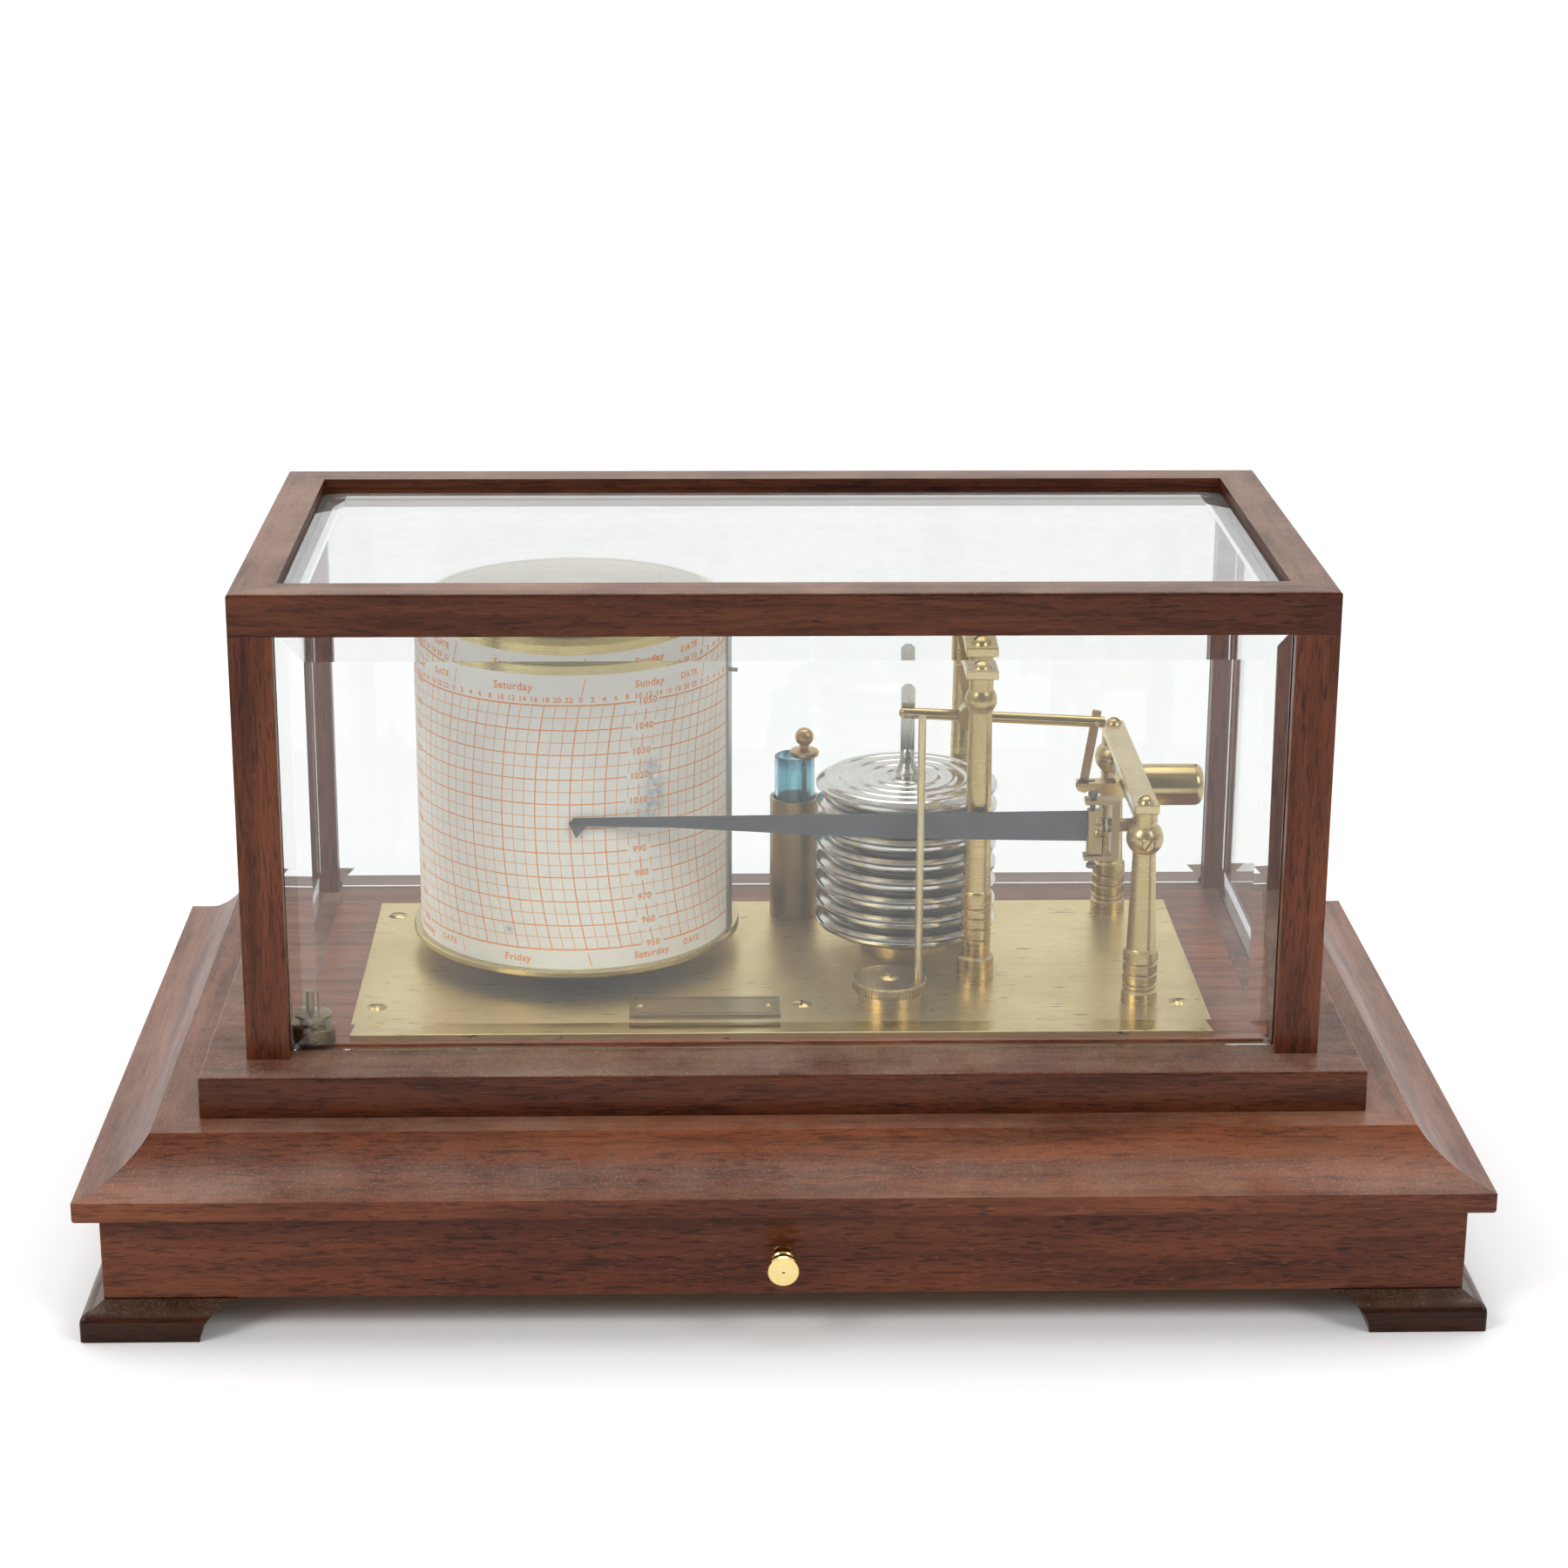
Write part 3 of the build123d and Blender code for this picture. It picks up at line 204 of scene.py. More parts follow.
def mahogany(name, along, shift, corner=None, tone=1.0, dust=0.5, gloss=0.33):
    """Lacquered mahogany: broad figure, ribbons, dark open pores, and on what faces up a pale cover that is
    dust and painted sheen.  shift moves the figure, tone scales the wood's colours, dust scales that cover of
    dust and painted sheen, and gloss is about the roughness where there is no such cover."""
    g = Graph(name)
    dark, warm, red, pore_brown, fleck_tan = (
        tuple(c * tone for c in colour)
        for colour in (WOOD_DARK, WOOD_WARM, WOOD_RED, WOOD_PORE, WOOD_FLECK))
    grain = grain_frame(g, along, corner)
    figure = g.noise(g.stretched(grain, 5, 42, 42, shift), 3, 0.55, 0.6)
    ribbon = g.noise(g.stretched(grain, 16, 230, 230, shift + 3), 3, 0.6, 0.3)
    streaks = g.noise(g.stretched(grain, 75, 800, 800, shift + 5), 3, 0.65, 0.8)
    pores = g.noise(g.stretched(grain, 140, 1350, 1350, shift + 7), 2, 0.6)
    flecks = g.noise(g.stretched(grain, 260, 2600, 2600, shift + 9), 1, 0.5)
    colour = g.mix(g.span(figure, 0.36, 0.64), red, warm)
    colour = g.mix(g.span(ribbon, 0.44, 0.68, 0, 0.58), colour, dark)
    colour = g.mix(g.span(streaks, 0.54, 0.66, 0, 0.55), colour, dark)
    pore_patches = g.span(figure, 0.34, 0.62, 1.0, 0.45)
    pore = g.math("MULTIPLY", g.span(pores, 0.54, 0.64), pore_patches)
    colour = g.mix(g.math("MULTIPLY", pore, 0.80), colour, pore_brown)
    colour = g.mix(g.span(flecks, 0.64, 0.72, 0, 0.35), colour, fleck_tan)
    # Dust and painted sheen: what faces up is lightened towards a pale tan, standing for settled dust and for
    # the light that level tops catch.
    level = g.span(g.facing_up(), 0.55, 0.95)
    film = g.noise(g.stretched(g.coords, 34, 34, 34, 5), 4, 0.65)
    specks = g.noise(g.stretched(g.coords, 1600, 1600, 1600), 2, 0.7)
    grit = g.span(specks, 0.56, 0.66)
    cover = g.math("ADD", g.span(film, 0.34, 0.72, 0.04, 0.42), g.math("MULTIPLY", grit, 0.36))
    cover = g.math("MULTIPLY", g.math("MULTIPLY", cover, level), dust, clamp=True)
    colour = g.mix(cover, colour, WOOD_DUST_AND_SHEEN)
    lacquer = g.span(ribbon, 0.3, 0.7, gloss - 0.04, gloss + 0.08)
    rough = g.math("ADD", lacquer, g.math("MULTIPLY", cover, 0.5))
    g.set(Base_Color=colour, Roughness=rough, Specular_IOR_Level=0.16)
    g.set(Coat_Weight=0.10, Coat_Roughness=0.18)
    g.bump(g.math("SUBTRACT", g.math("MULTIPLY", ribbon, 0.25), pore), 0.22, 0.00010)
    return g


def plain_wood(name, along):
    """Unpolished secondary timber inside the drawer and base."""
    g = Graph(name)
    grain = grain_frame(g, along)
    rings = g.noise(g.stretched(grain, 7, 120, 120, 2), 3, 0.55, 0.8)
    fibre = g.noise(g.stretched(grain, 60, 1500, 1500, 4), 2, 0.6)
    colour = g.mix(g.span(rings, 0.3, 0.7), (0.52, 0.33, 0.17), (0.34, 0.19, 0.09))
    colour = g.mix(g.span(fibre, 0.5, 0.75, 0, 0.4), colour, (0.22, 0.12, 0.06))
    g.set(Base_Color=colour, Roughness=g.span(fibre, 0.3, 0.7, 0.55, 0.72))
    g.bump(fibre, 0.25, 0.00015)
    return g


BRUSHED_RELIEF = 0.035
PLAIN_RELIEF = 0.03
STAIN_BROWN = (0.05, 0.035, 0.02)


def metal(name, colour, rough, brushed, tarnish, stain=None, axis=None, blotch=60.0, fine=2200.0):
    """A lacquered metal.  brushed is "x" or "z" for lines along that direction, "turned" for lines round
    the upright through the point axis, or None.  tarnish is how far patches deepen in colour, and stain
    the cover of small dark spots.  blotch and fine are about the patches and the lines per metre."""
    g = Graph(name)
    if brushed == "turned":
        dx, dy = g.math("SUBTRACT", g.x, axis[0]), g.math("SUBTRACT", g.y, axis[1])
        radius = g.math("SQRT", g.math("ADD", g.math("MULTIPLY", dx, dx), g.math("MULTIPLY", dy, dy)))
        lines = g.noise(g.stretched(g.vector(radius, 0.0, g.z), fine, 1, fine), 2, 0.6)
    elif brushed == "x":
        lines = g.noise(g.stretched(g.coords, 9, fine, fine), 3, 0.6)
    elif brushed == "z":
        lines = g.noise(g.stretched(g.coords, fine, fine, 30), 3, 0.6)
    else:
        lines = g.noise(g.stretched(g.coords, 900, 900, 900), 2, 0.6)
    patches = g.noise(g.stretched(g.coords, blotch, blotch, blotch, 3), 4, 0.62)
    deep = tuple(c * f for c, f in zip(colour, (0.62, 0.52, 0.36)))
    paint = g.mix(g.span(patches, 0.35, 0.72, 0, tarnish), colour, deep)
    paint = g.mix(g.span(lines, 0.3, 0.7, 0.0, 0.22), paint, tuple(c * 0.66 for c in colour))
    if stain:
        marks = g.noise(g.stretched(g.coords, 130, 900, 600, 11), 3, 0.7)
        spots = g.span(marks, 0.635, 0.69, 0, stain)
        paint = g.mix(spots, paint, STAIN_BROWN)
    polish = g.span(lines, 0.25, 0.75, rough * 0.8, rough * 1.2)
    roughness = g.math("ADD", polish, g.span(patches, 0.4, 0.8, 0, 0.08))
    g.set(Base_Color=paint, Metallic=1.0, Roughness=roughness)
    g.bump(lines, BRUSHED_RELIEF if brushed else PLAIN_RELIEF, 0.00004)
    return g


GLASS_SHADOW = (0.93, 0.96, 0.945, 1)
GLASS_DUST = (0.52, 0.53, 0.53, 1)


def pane_glass(name, tint, dust):
    """Clear glass that lets the lamps through, with specks and a thin film of dust.  dust is the film's
    cover where it is thickest."""
    g = Graph(name)
    film = g.noise(g.stretched(g.coords, 60, 60, 60, 8), 4, 0.7)
    specks = g.noise(g.stretched(g.coords, 1500, 1500, 1500), 1, 0.6)
    g.set(Base_Color=tint, Roughness=0.0, IOR=1.5, Transmission_Weight=1.0)
    clear = g.tree.nodes.new("ShaderNodeBsdfTransparent")
    clear.inputs["Color"].default_value = GLASS_SHADOW
    dusty = g.tree.nodes.new("ShaderNodeBsdfDiffuse")
    dusty.inputs["Color"].default_value = GLASS_DUST
    path = g.tree.nodes.new("ShaderNodeLightPath")
    glass = g.mix_shaders(path.outputs["Is Shadow Ray"], g.shader.outputs[0], clear.outputs[0])
    cover = g.math("ADD", g.span(specks, 0.72, 0.78, 0, 0.16), g.span(film, 0.35, 0.8, dust * 0.3, dust))
    veiled = g.mix_shaders(cover, glass, dusty.outputs[0])
    g.tree.links.new(veiled, g.out.inputs["Surface"])
    return g


def bottle_glass(name):
    """Pale blue glass, streaked by dried ink and darkest at the rim."""
    g = Graph(name)
    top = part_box("ink_bottle")[1][2]
    streaks = g.noise(g.stretched(g.coords, 420, 420, 90, 5), 4, 0.7)
    rim = g.span(g.z, top - 0.004, top - 0.0005)
    wall = g.mix(g.span(streaks, 0.38, 0.62), (0.66, 0.91, 0.95), (0.24, 0.60, 0.74))
    wall = g.mix(g.math("MULTIPLY", rim, g.span(streaks, 0.3, 0.6)), wall, (0.02, 0.13, 0.22))
    g.set(Base_Color=wall, Roughness=0.06, IOR=1.5, Transmission_Weight=0.86)
    return g


def printed_paper(name):
    """Warm white paper with soft clouds, faint fibres and a few ink smudges."""
    g = Graph(name)
    fibres = g.noise(g.stretched(g.coords, 700, 700, 700), 3, 0.6)
    clouds = g.noise(g.stretched(g.coords, 55, 55, 55, 3), 3, 0.6)
    paper = g.mix(g.span(clouds, 0.3, 0.7), (0.80, 0.755, 0.70), (0.85, 0.815, 0.765))
    paper = g.mix(g.span(fibres, 0.55, 0.75, 0, 0.12), paper, (0.62, 0.56, 0.48))
    for spot_s, spot_h, size in SMUDGES:
        place = on_chart(spot_s, spot_h)
        dx, dy, dz = (g.math("SUBTRACT", a, b) for a, b in zip((g.x, g.y, g.z), place))
        square = g.math("ADD", g.math("MULTIPLY", dx, dx), g.math("MULTIPLY", dy, dy))
        square = g.math("ADD", square, g.math("MULTIPLY", g.math("MULTIPLY", dz, dz), 0.6))
        near = g.span(g.math("SQRT", square), 0.0, size, 1.0, 0.0)
        blot = g.noise(g.stretched(g.coords, 520, 520, 380, 6), 4, 0.7)
        near = g.math("MULTIPLY", near, g.span(blot, 0.36, 0.66))
        paper = g.mix(g.math("MULTIPLY", near, 0.95, clamp=True), paper, (0.16, 0.30, 0.40))
    g.set(Base_Color=paper, Roughness=g.span(fibres, 0.3, 0.7, 0.62, 0.74))
    g.bump(fibres, 0.12, 0.00005)
    return g


def ink(name, colour):
    """Litho ink that thins out a little over the sheet."""
    g = Graph(name)
    wear = g.noise(g.stretched(g.coords, 900, 900, 900), 3, 0.7)
    g.set(Base_Color=g.mix(g.span(wear, 0.45, 0.75, 0, 0.35), colour, (0.80, 0.66, 0.55)),
          Roughness=g.span(wear, 0.3, 0.7, 0.6, 0.75))
    return g


# ------------------------------------------------------------------- the chart
# A point of the chart is (s, h): s metres round the paper to the right of its front, h above the plate.
DRUM = middle("chart_paper")
paper_low, paper_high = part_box("chart_paper")
PAPER_R = (paper_high[0] - paper_low[0]) / 2
PLATE_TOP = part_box("bed_plate")[1][2]
HOUR_2 = 0.003345                      # two hours along the paper
DAY = 12 * HOUR_2
LINE_TOP, LINE_LOW = 0.0866, 0.0134    # heights of the highest and lowest pressure lines
STEP_5 = (LINE_TOP - LINE_LOW) / 20     # between pressure lines, which are 5 hPa apart
ARC_R, ARC_H = 0.175, 0.0526           # the time arcs' radius, and the height where they stand upright
CLIP_S = math.radians(76.0) * PAPER_R  # where the clip covers the chart's joint
SHEET = 2 * math.pi * PAPER_R
RULED_FROM = CLIP_S - SHEET + 0.004    # where the ruling starts, clear of the clip
RULED_TO = CLIP_S - 0.0022             # where the pressure lines end
ARCS_TO, LAST_ARC_TO = CLIP_S - 0.004, CLIP_S - 0.003   # the last time arc's foot and its top stay short
HOURS_TO, DAYS_TO = CLIP_S - 0.0035, CLIP_S - 0.008     # so do the last hour and the middle of the last day
BOLD, THIN, DAY_MARK = 0.00036, 0.00024, 0.00028        # widths of the printed lines
BORDER = 1.35                          # how much bolder the highest and lowest pressure lines are
DAY_MARKS = ((LINE_TOP + 0.0030, 0.0945), (0.0085, LINE_LOW - 0.0012))   # each day's, over and under the grid
RUN_STEPS, ARC_STEPS, MARK_STEPS = 560, 60, 4
HOURS_H = 0.0882                       # height of the row of hours
HEAD_ARC_H, FOOT_ARC_H = 0.0915, 0.0100   # where the words above and below follow the time arcs
HEAD_H, FOOT_H, FOOT_DATE_H = 0.0917, 0.0102, 0.0108   # heights of those words
HEAD_DATE, FOOT_DATE = 0.845, 0.835    # where in its day the word DATE stands
PRESSURE_SIZE, HEAD_SIZE, FOOT_SIZE, DATE_SIZE, HOUR_SIZE = 0.0027, 0.0030, 0.0029, 0.0025, 0.00215
LABEL_HALF_S, LABEL_HALF_H = 0.0036, 0.00135   # half of the space left open for a printed pressure
LIFT = 0.00003                         # how far the ink stands off the paper
TYPE_WEIGHT, TYPE_SPACING = 0.028, 1.12
DAYS = ("Sunday", "Monday", "Tuesday", "Wednesday", "Thursday", "Friday", "Saturday")
NO_DATE = DAYS.index("Saturday")       # the one day printed without the word DATE
SMUDGES = (                            # (s, h, radius)
    (0.0245, 0.0655, 0.0042), (0.0262, 0.0590, 0.0048), (0.0235, 0.0545, 0.0055),
    (-0.0185, 0.0185, 0.0016))


def on_chart(s, h, lift=0.0):
    """The place in space of a chart point, lifted off the paper."""
    a = s / PAPER_R
    r = PAPER_R + lift
    return DRUM.x + r * math.sin(a), DRUM.y - r * math.cos(a), PLATE_TOP + h


def arc_shift(h):
    """How far a time arc stands to the right of its leftmost point, at height h."""
    return ARC_R - math.sqrt(ARC_R ** 2 - (h - ARC_H) ** 2)


def label_centres():
    """The printed pressures: (text, s, h), every second day, on the noon arc."""
    spots = []
    for day in (0, -2, -4):
        for i in range(11):
            h = LINE_TOP - 2 * i * STEP_5
            spots.append((str(1050 - 10 * i), day * DAY + DAY / 2 + arc_shift(h), h))
    return spots


LABELS = label_centres()


def clear_of_labels(s, h):
    """Whether a chart point is outside every printed pressure's space."""
    return not any(abs(s - label_s) < LABEL_HALF_S and abs(h - label_h) < LABEL_HALF_H
                   for _, label_s, label_h in LABELS)


def ribbon(mesh, points, width):
    """A printed line: a thin strip on the paper through (s, h) points, broken where a label stands."""
    half = width / 2
    previous = None
    for i, (s, h) in enumerate(points):
        near = points[min(i + 1, len(points) - 1)]
        back = points[max(i - 1, 0)]
        ds, dh = near[0] - back[0], near[1] - back[1]
        size = math.hypot(ds, dh)
        ns, nh = -dh / size * half, ds / size * half
        sides = ((s + ns, h + nh), (s - ns, h - nh))
        pair = [mesh.verts.new(on_chart(*side, LIFT)) for side in sides]
        if previous and clear_of_labels(s, h):
            mesh.faces.new((previous[0], previous[1], pair[1], pair[0]))
        previous = pair


def new_piece(name, mesh, body, material):
    """A Blender piece from a bmesh, riding on a CAD body."""
    data = bpy.data.meshes.new(name)
    mesh.to_mesh(data)
    mesh.free()
    piece = bpy.data.objects.new(name, data)
    bpy.context.scene.collection.objects.link(piece)
    data.materials.append(material.mat)
    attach(piece, body)


def between(a, b, steps):
    """steps + 1 numbers from a to b."""
    return [a + (b - a) * k / steps for k in range(steps + 1)]


def time_arc(s, heights):
    """Chart points up the time arc whose leftmost point is at s."""
    return [(s + arc_shift(h), h) for h in heights]


def chart_lines(bold):
    """Either the bold or the thin rulings as one mesh."""
    mesh = bmesh.new()
    width = BOLD if bold else THIN
    for i in range(21):
        if (i % 2 == 0) != bold:
            continue
        h = LINE_TOP - i * STEP_5
        run = [(s, h) for s in between(RULED_FROM, RULED_TO, RUN_STEPS)]
        ribbon(mesh, run, width * (BORDER if i in (0, 20) else 1.0))
    for i in range(math.ceil(RULED_FROM / HOUR_2), math.floor(ARCS_TO / HOUR_2) + 1):
        if (i % 3 == 0) != bold:
            continue
        run = time_arc(i * HOUR_2, between(LINE_LOW, LINE_TOP, ARC_STEPS))
        if run[-1][0] < LAST_ARC_TO:
            ribbon(mesh, run, width)
        if i % 12 == 0:
            for ends in DAY_MARKS:
                ribbon(mesh, time_arc(i * HOUR_2, between(*ends, MARK_STEPS)), DAY_MARK)
    return mesh


def lettering(words):
    """Wraps (text, s, h, size) round the drum as one flat-faced mesh."""
    mesh = bmesh.new()
    for text, s, h, size in words:
        curve = bpy.data.curves.new("print", "FONT")
        curve.body = text
        curve.size = size
        curve.align_x = "CENTER"
        curve.align_y = "CENTER"
        curve.resolution_u = 3
        curve.offset = size * TYPE_WEIGHT
        curve.space_character = TYPE_SPACING
        text_object = bpy.data.objects.new("print", curve)
        bpy.context.scene.collection.objects.link(text_object)
        bpy.context.view_layer.update()
        depsgraph = bpy.context.evaluated_depsgraph_get()
        flat = bpy.data.meshes.new_from_object(text_object.evaluated_get(depsgraph))
        for v in flat.vertices:
            v.co = on_chart(s + v.co.x, h + v.co.y, LIFT * 1.5)
        mesh.from_mesh(flat)
        bpy.data.objects.remove(text_object)
        bpy.data.meshes.remove(flat)
        bpy.data.curves.remove(curve)
    return mesh


def printed_words():
    """All of the chart's print as (text, s, h, size): pressures, and each day's names, DATEs and hours."""
    words = [(text, s, h - 0.0001, PRESSURE_SIZE) for text, s, h in LABELS]
    for day in range(-5, 2):
        start = day * DAY
        head, foot = start + arc_shift(HEAD_ARC_H), start + arc_shift(FOOT_ARC_H)
        if start + DAY / 2 < DAYS_TO:
            words.append((DAYS[day % 7], head + DAY / 2 - 0.0003, HEAD_H, HEAD_SIZE))
            words.append((DAYS[(day - 1) % 7], foot + DAY / 2 - 0.0012, FOOT_H, FOOT_SIZE))
            if day % 7 != NO_DATE:
                words.append(("DATE", head + DAY * HEAD_DATE, HEAD_H, DATE_SIZE))
                words.append(("DATE", foot + DAY * FOOT_DATE, FOOT_DATE_H, DATE_SIZE))
        for i in range(12):
            s = start + i * HOUR_2 + arc_shift(HOURS_H)
            if s < HOURS_TO:
                words.append((str(2 * i), s, HOURS_H, HOUR_SIZE))
    return words


# ------------------------------------------------------------------ dress the CAD
CASE_Y = middle("top_rails").y


def mitre(node):
    """The corner of a mitred frame: its x, its y from the case's middle, and that middle's y."""
    x, y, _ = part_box(node)[1]
    return x, y - CASE_Y, CASE_Y


# dust scales each wood's pale cover on what faces up, which is dust and painted sheen.
dress(mahogany("mahogany_rails", "frame", 1.0, mitre("top_rails"), tone=0.56, dust=0.9), "top_rails")
dress(mahogany("mahogany_posts", "z", 4.0, tone=0.82), "corner_posts")
dress(mahogany("mahogany_cap", "frame", 8.0, mitre("cap_mouldings"), tone=0.95, dust=0.60, gloss=0.28),
      "cap_mouldings")
dress(mahogany("mahogany_feet", "frame", 12.0, mitre("bracket_feet"), tone=0.24, dust=0.55, gloss=0.24),
      "bracket_feet")
dress(mahogany("mahogany_plinth", "x", 15.0, tone=0.68, dust=0.85), "plinth_board")
dress(mahogany("mahogany_drawer", "x", 19.0, tone=0.92), "drawer_front", "base_back")
dress(mahogany("mahogany_sides", "y", 23.0, tone=0.92), "base_sides")
dress(mahogany("mahogany_board", "x", 27.0, tone=1.35, dust=0.35), "instrument_board")
dress(plain_wood("secondary_timber", "x"), "base_floor", "cap_panel", "drawer_back", "drawer_bottom")
dress(plain_wood("secondary_timber_sides", "y"), "drawer_sides", "drawer_runners")

wall_glass = pane_glass("wall_glass", (0.885, 0.900, 0.895, 1), 0.010)
dress(wall_glass, "glass_front", "glass_back", "glass_left", "glass_right")
dress(pane_glass("top_glass", (0.80, 0.815, 0.815, 1), 0.15), "glass_top")
dress(bottle_glass("bottle_glass"), "ink_bottle")

BRASS = (0.60, 0.45, 0.20)
PALE_BRASS = (0.66, 0.52, 0.27)

# Brass with stains, or with its own spacing of lines and patches.
dress(metal("brushed_brass_plate", (0.78, 0.62, 0.31), 0.33, "x", 0.50, stain=0.85, blotch=34, fine=1700),
      "bed_plate")
dress(metal("label_brass", (0.36, 0.27, 0.13), 0.32, "x", 0.6, stain=0.7), "nameplate")
dress(metal("weight_brass", BRASS, 0.18, "x", 0.25, fine=900), "counterweight")

# Turned parts, each with its lines round its own axis.
dress(metal("turned_brass_drum", (0.62, 0.51, 0.26), 0.27, "turned", 0.35, axis=DRUM),
      "drum_shell", "drum_lid")
for node in ("tall_column_front", "tall_column_rear", "short_column_front", "short_column_rear"):
    dress(metal("turned_" + node, BRASS, 0.27, "turned", 0.18, axis=middle(node), blotch=25), node)
for name, colour, rough, tarnish, node in (
        ("knurled_brass", (0.50, 0.38, 0.18), 0.28, 0.45, "lifter_knob"),
        ("stopper_bronze", (0.62, 0.42, 0.20), 0.26, 0.5, "ink_stopper"),
        ("nickel_capsules", (0.74, 0.72, 0.69), 0.15, 0.22, "aneroid_capsules")):
    dress(metal(name, colour, rough, "turned", tarnish, axis=middle(node)), node)

# The other metals: name, colour, roughness, direction of the lines, tarnish, and the nodes made of it.
for name, colour, rough, lines, tarnish, *nodes in (
        ("movement_brass", BRASS, 0.30, "x", 0.3, "clock_movement", "centre_wheel", "aneroid_mount"),
        ("polished_brass", BRASS, 0.17, None, 0.22,
         "plate_fasteners", "main_beam", "pen_lever", "block_screws"),
        ("block_brass", (0.44, 0.33, 0.17), 0.28, "z", 0.4, "pen_block"),
        ("bridge_brass", PALE_BRASS, 0.24, "x", 0.2, "tall_bridge", "short_bridge"),
        ("screw_brass", BRASS, 0.22, None, 0.4, "column_screws"),
        ("drawer_knob_brass", (0.90, 0.70, 0.30), 0.10, None, 0.12, "drawer_knob"),
        ("antique_brass", (0.46, 0.34, 0.19), 0.33, "z", 0.45, "ink_holder"),
        ("dull_brass", (0.26, 0.19, 0.09), 0.30, None, 0.5, "spare_thumb_screw"),
        ("lifter_rod_brass", (0.66, 0.54, 0.32), 0.24, "z", 0.3, "lifter_rod"),
        ("bracket_bronze", (0.42, 0.31, 0.17), 0.30, "z", 0.5, "gate_bracket"),
        ("link_copper", (0.58, 0.38, 0.24), 0.30, "z", 0.4, "link"),
        ("stem_steel", (0.62, 0.60, 0.57), 0.24, "z", 0.3, "capsule_stem"),
        ("arbor_steel", (0.55, 0.50, 0.42), 0.25, None, 0.3,
         "main_arbor", "pen_arbor", "drum_spindle", "drive_pinion"),
        ("blued_screws", (0.20, 0.17, 0.15), 0.32, None, 0.5, "gate_pivots"),
        ("clip_steel", (0.42, 0.41, 0.40), 0.35, "z", 0.5, "chart_clip"),
        ("arm_steel", (0.13, 0.14, 0.155), 0.42, None, 0.45, "pen_arm"),
        ("nib_steel", (0.17, 0.18, 0.20), 0.38, None, 0.4, "pen_nib")):
    dress(metal(name, colour, rough, lines, tarnish), *nodes)

# A copy of the capsules stands in place of the hidden CAD node; the copy keeps their nickel.
capsules = bpy.data.objects.new("capsule_stack", NODES["aneroid_capsules"].data.copy())
bpy.context.scene.collection.objects.link(capsules)
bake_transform(capsules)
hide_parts("aneroid_capsules")

dress(printed_paper("chart_sheet"), "chart_paper")
print_ink = ink("chart_ink", (0.90, 0.31, 0.06))
thin_ink = ink("chart_ink_thin", (0.90, 0.42, 0.15))
new_piece("chart_rulings_bold", chart_lines(True), "drum", print_ink)
new_piece("chart_rulings_thin", chart_lines(False), "drum", thin_ink)
new_piece("chart_numerals", lettering(printed_words()), "drum", print_ink)


# ------------------------------------------------------------ floor, light, camera
FLOOR_HALF = 1.3                       # half of the floor's side
FLOOR_DROP = 0.0002                    # how far it lies under the feet, so that the faces don't meet
DIM, BRIGHT = 0.12, 1.1                # strength of the surroundings in front of the case and behind it
DIM_TO, BRIGHT_FROM = -0.75, 0.45      # the Y of a direction at which each is reached
SOFTBOXES = (                          # name, place, target, width, height, watts
    ("key_left", (-1.5, -1.3, 1.5), (0, 0, 0.1), 0.9, 1.3, 23),
    ("key_right", (1.5, -1.3, 1.5), (0, 0, 0.1), 0.9, 1.3, 17),
    ("overhead", (0, 0.5, 2.1), (0, 0, 0), 1.9, 1.5, 22))
CAMERA_PLACE = (-0.02546, CASE_Y - 0.94701, 0.42432)
CAMERA_YAW, CAMERA_PITCH, CAMERA_ROLL = 0.0287, 0.3102, 0.0049   # radians right, down and anticlockwise
SENSOR_MM, LENS_MM = 36, 77.52
CLIP_END = 60


def pale_floor():
    """A matt, nearly white floor, a little uneven in tone."""
    g = Graph("studio_floor")
    cloud = g.noise(g.stretched(g.coords, 0.5, 0.5, 0.5), 2, 0.5)
    paint = g.mix(cloud, (0.90, 0.90, 0.90), (0.92, 0.92, 0.92))
    g.set(Base_Color=paint, Roughness=0.9, Specular_IOR_Level=0.1)
    mesh = bpy.data.meshes.new("studio_floor")
    corners = [(x * FLOOR_HALF, y * FLOOR_HALF, 0) for x, y in ((-1, -1), (1, -1), (1, 1), (-1, 1))]
    mesh.from_pydata(corners, [], [(0, 1, 2, 3)])
    mesh.materials.append(g.mat)
    floor = bpy.data.objects.new("studio_floor", mesh)
    floor.location.z = -FLOOR_DROP
    bpy.context.scene.collection.objects.link(floor)


def softbox(name, place, target, width, height, watts):
    """A rectangular white lamp that faces its target."""
    lamp = bpy.data.lights.new(name, "AREA")
    lamp.shape = "RECTANGLE"
    lamp.size, lamp.size_y = width, height
    lamp.energy = watts
    obj = bpy.data.objects.new(name, lamp)
    obj.location = place
    obj.rotation_euler = (Vector(target) - Vector(place)).to_track_quat("-Z", "Y").to_euler()
    bpy.context.scene.collection.objects.link(obj)


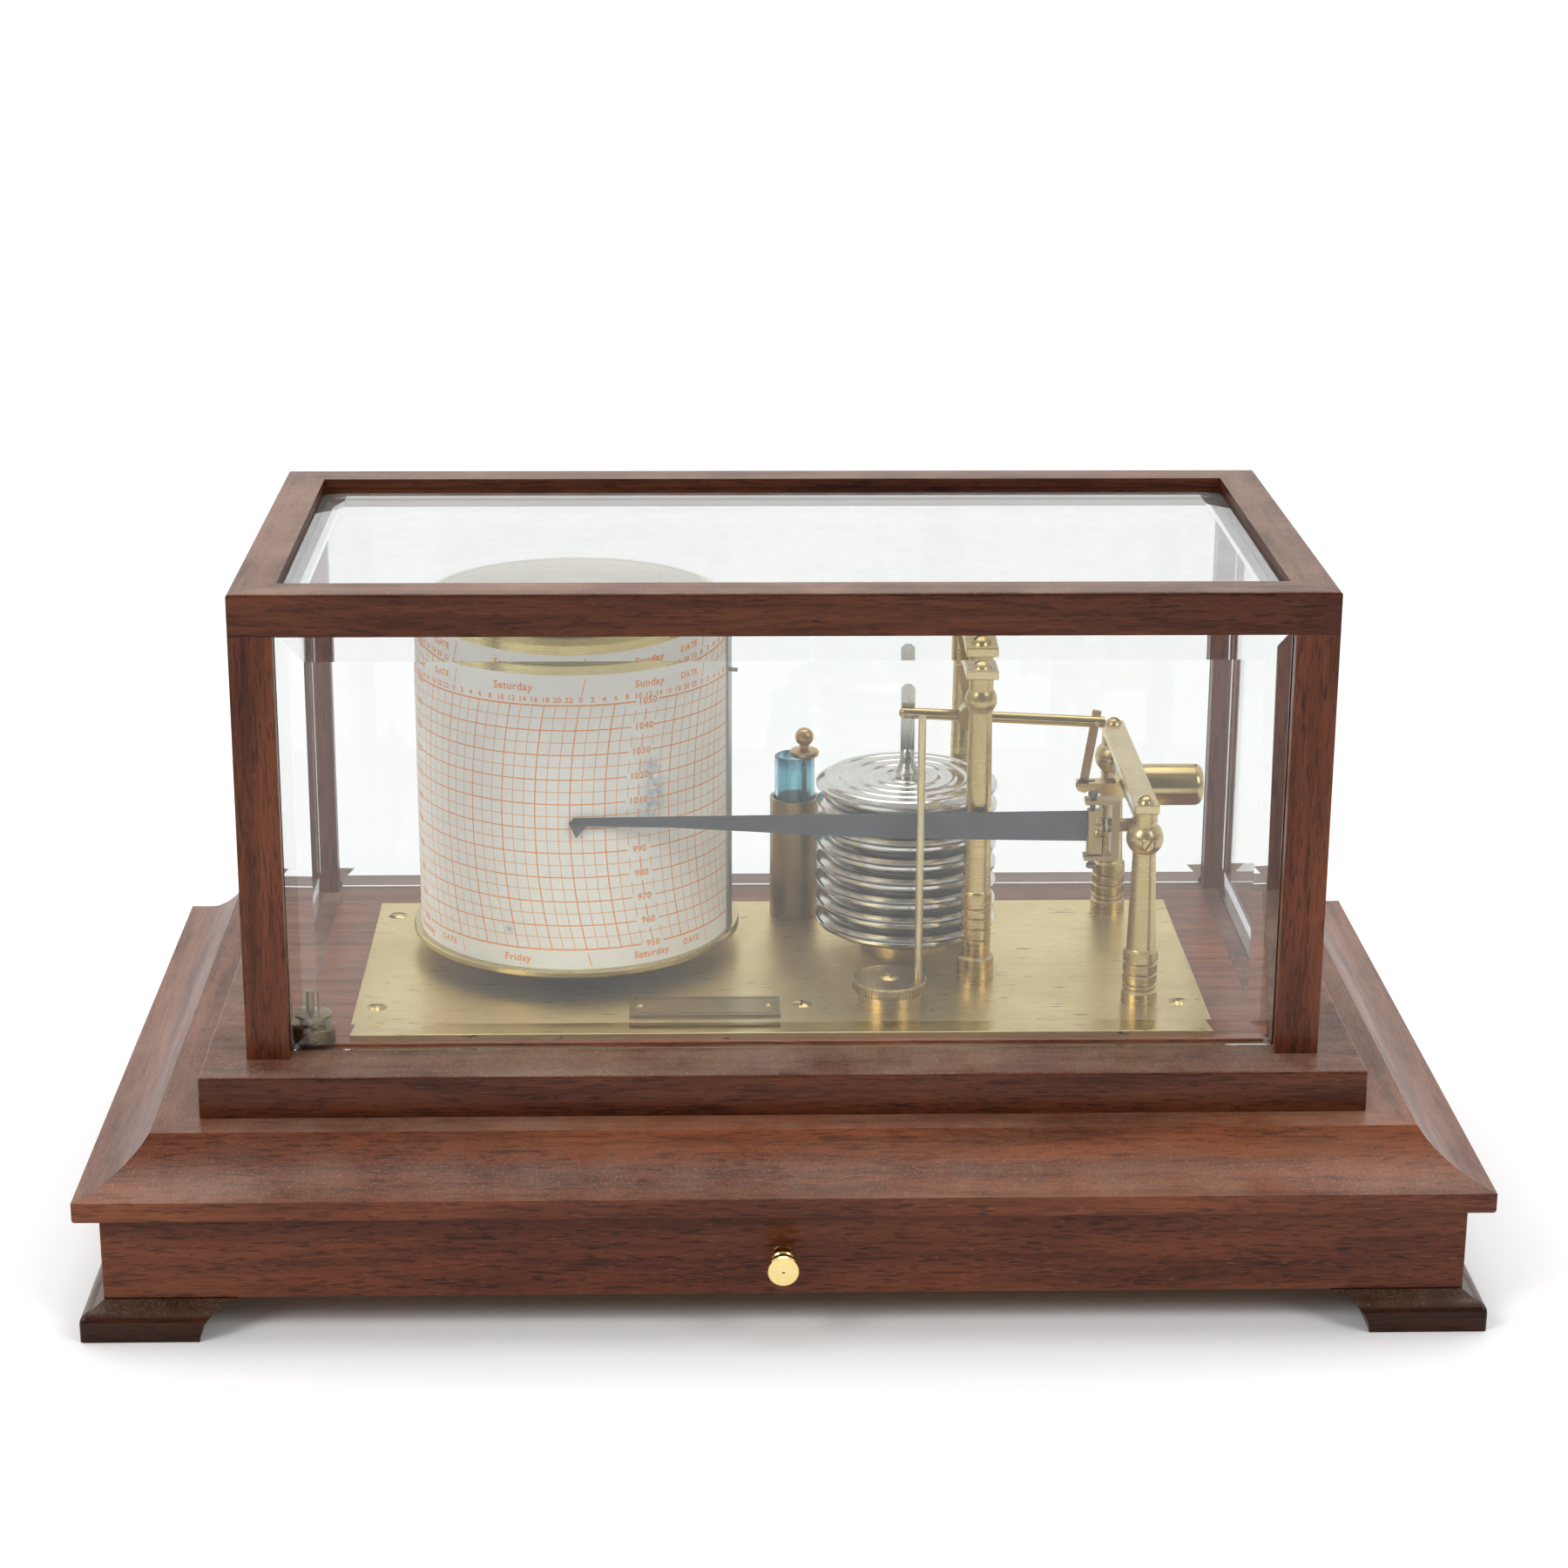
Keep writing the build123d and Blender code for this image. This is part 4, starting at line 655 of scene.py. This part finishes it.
def studio_world():
    """White surroundings.  Where the camera sees them directly they are white all round; metal and glass
    see them dimmer in front of the case, so that they have something dark to show."""
    world = bpy.data.worlds.new("studio")
    bpy.context.scene.world = world
    world.use_nodes = True
    tree = world.node_tree
    background = tree.nodes["Background"]
    coords = tree.nodes.new("ShaderNodeTexCoord")
    split = tree.nodes.new("ShaderNodeSeparateXYZ")
    tree.links.new(coords.outputs["Generated"], split.inputs[0])
    front = tree.nodes.new("ShaderNodeMapRange")
    limits = (("From Min", DIM_TO), ("From Max", BRIGHT_FROM), ("To Min", DIM), ("To Max", BRIGHT))
    for key, value in limits:
        front.inputs[key].default_value = value
    tree.links.new(split.outputs[1], front.inputs["Value"])
    path = tree.nodes.new("ShaderNodeLightPath")
    brighter = tree.nodes.new("ShaderNodeMath")
    brighter.operation = "MAXIMUM"
    tree.links.new(path.outputs["Is Camera Ray"], brighter.inputs[0])
    tree.links.new(front.outputs[0], brighter.inputs[1])
    tree.links.new(brighter.outputs[0], background.inputs["Strength"])
    background.inputs["Color"].default_value = (1.0, 1.0, 1.0, 1)


def camera():
    """A long lens from the front, a little to the left, looking down about 18 degrees."""
    yaw, pitch, roll = CAMERA_YAW, CAMERA_PITCH, CAMERA_ROLL
    forward = Vector((math.sin(yaw) * math.cos(pitch), math.cos(yaw) * math.cos(pitch), -math.sin(pitch)))
    level = Vector((math.cos(yaw), -math.sin(yaw), 0))
    above = level.cross(forward)
    right = math.cos(roll) * level + math.sin(roll) * above
    above = -math.sin(roll) * level + math.cos(roll) * above
    lens = bpy.data.cameras.new("camera")
    lens.sensor_width = SENSOR_MM
    lens.lens = LENS_MM
    lens.clip_end = CLIP_END
    eye = bpy.data.objects.new("camera", lens)
    turn = Matrix((right, above, -forward)).transposed().to_4x4()
    eye.matrix_world = Matrix.Translation(CAMERA_PLACE) @ turn
    bpy.context.scene.collection.objects.link(eye)
    bpy.context.scene.camera = eye


pale_floor()
studio_world()
for box in SOFTBOXES:
    softbox(*box)
camera()
bpy.context.scene.view_settings.view_transform = "Standard"
bpy.context.scene.view_settings.look = "None"
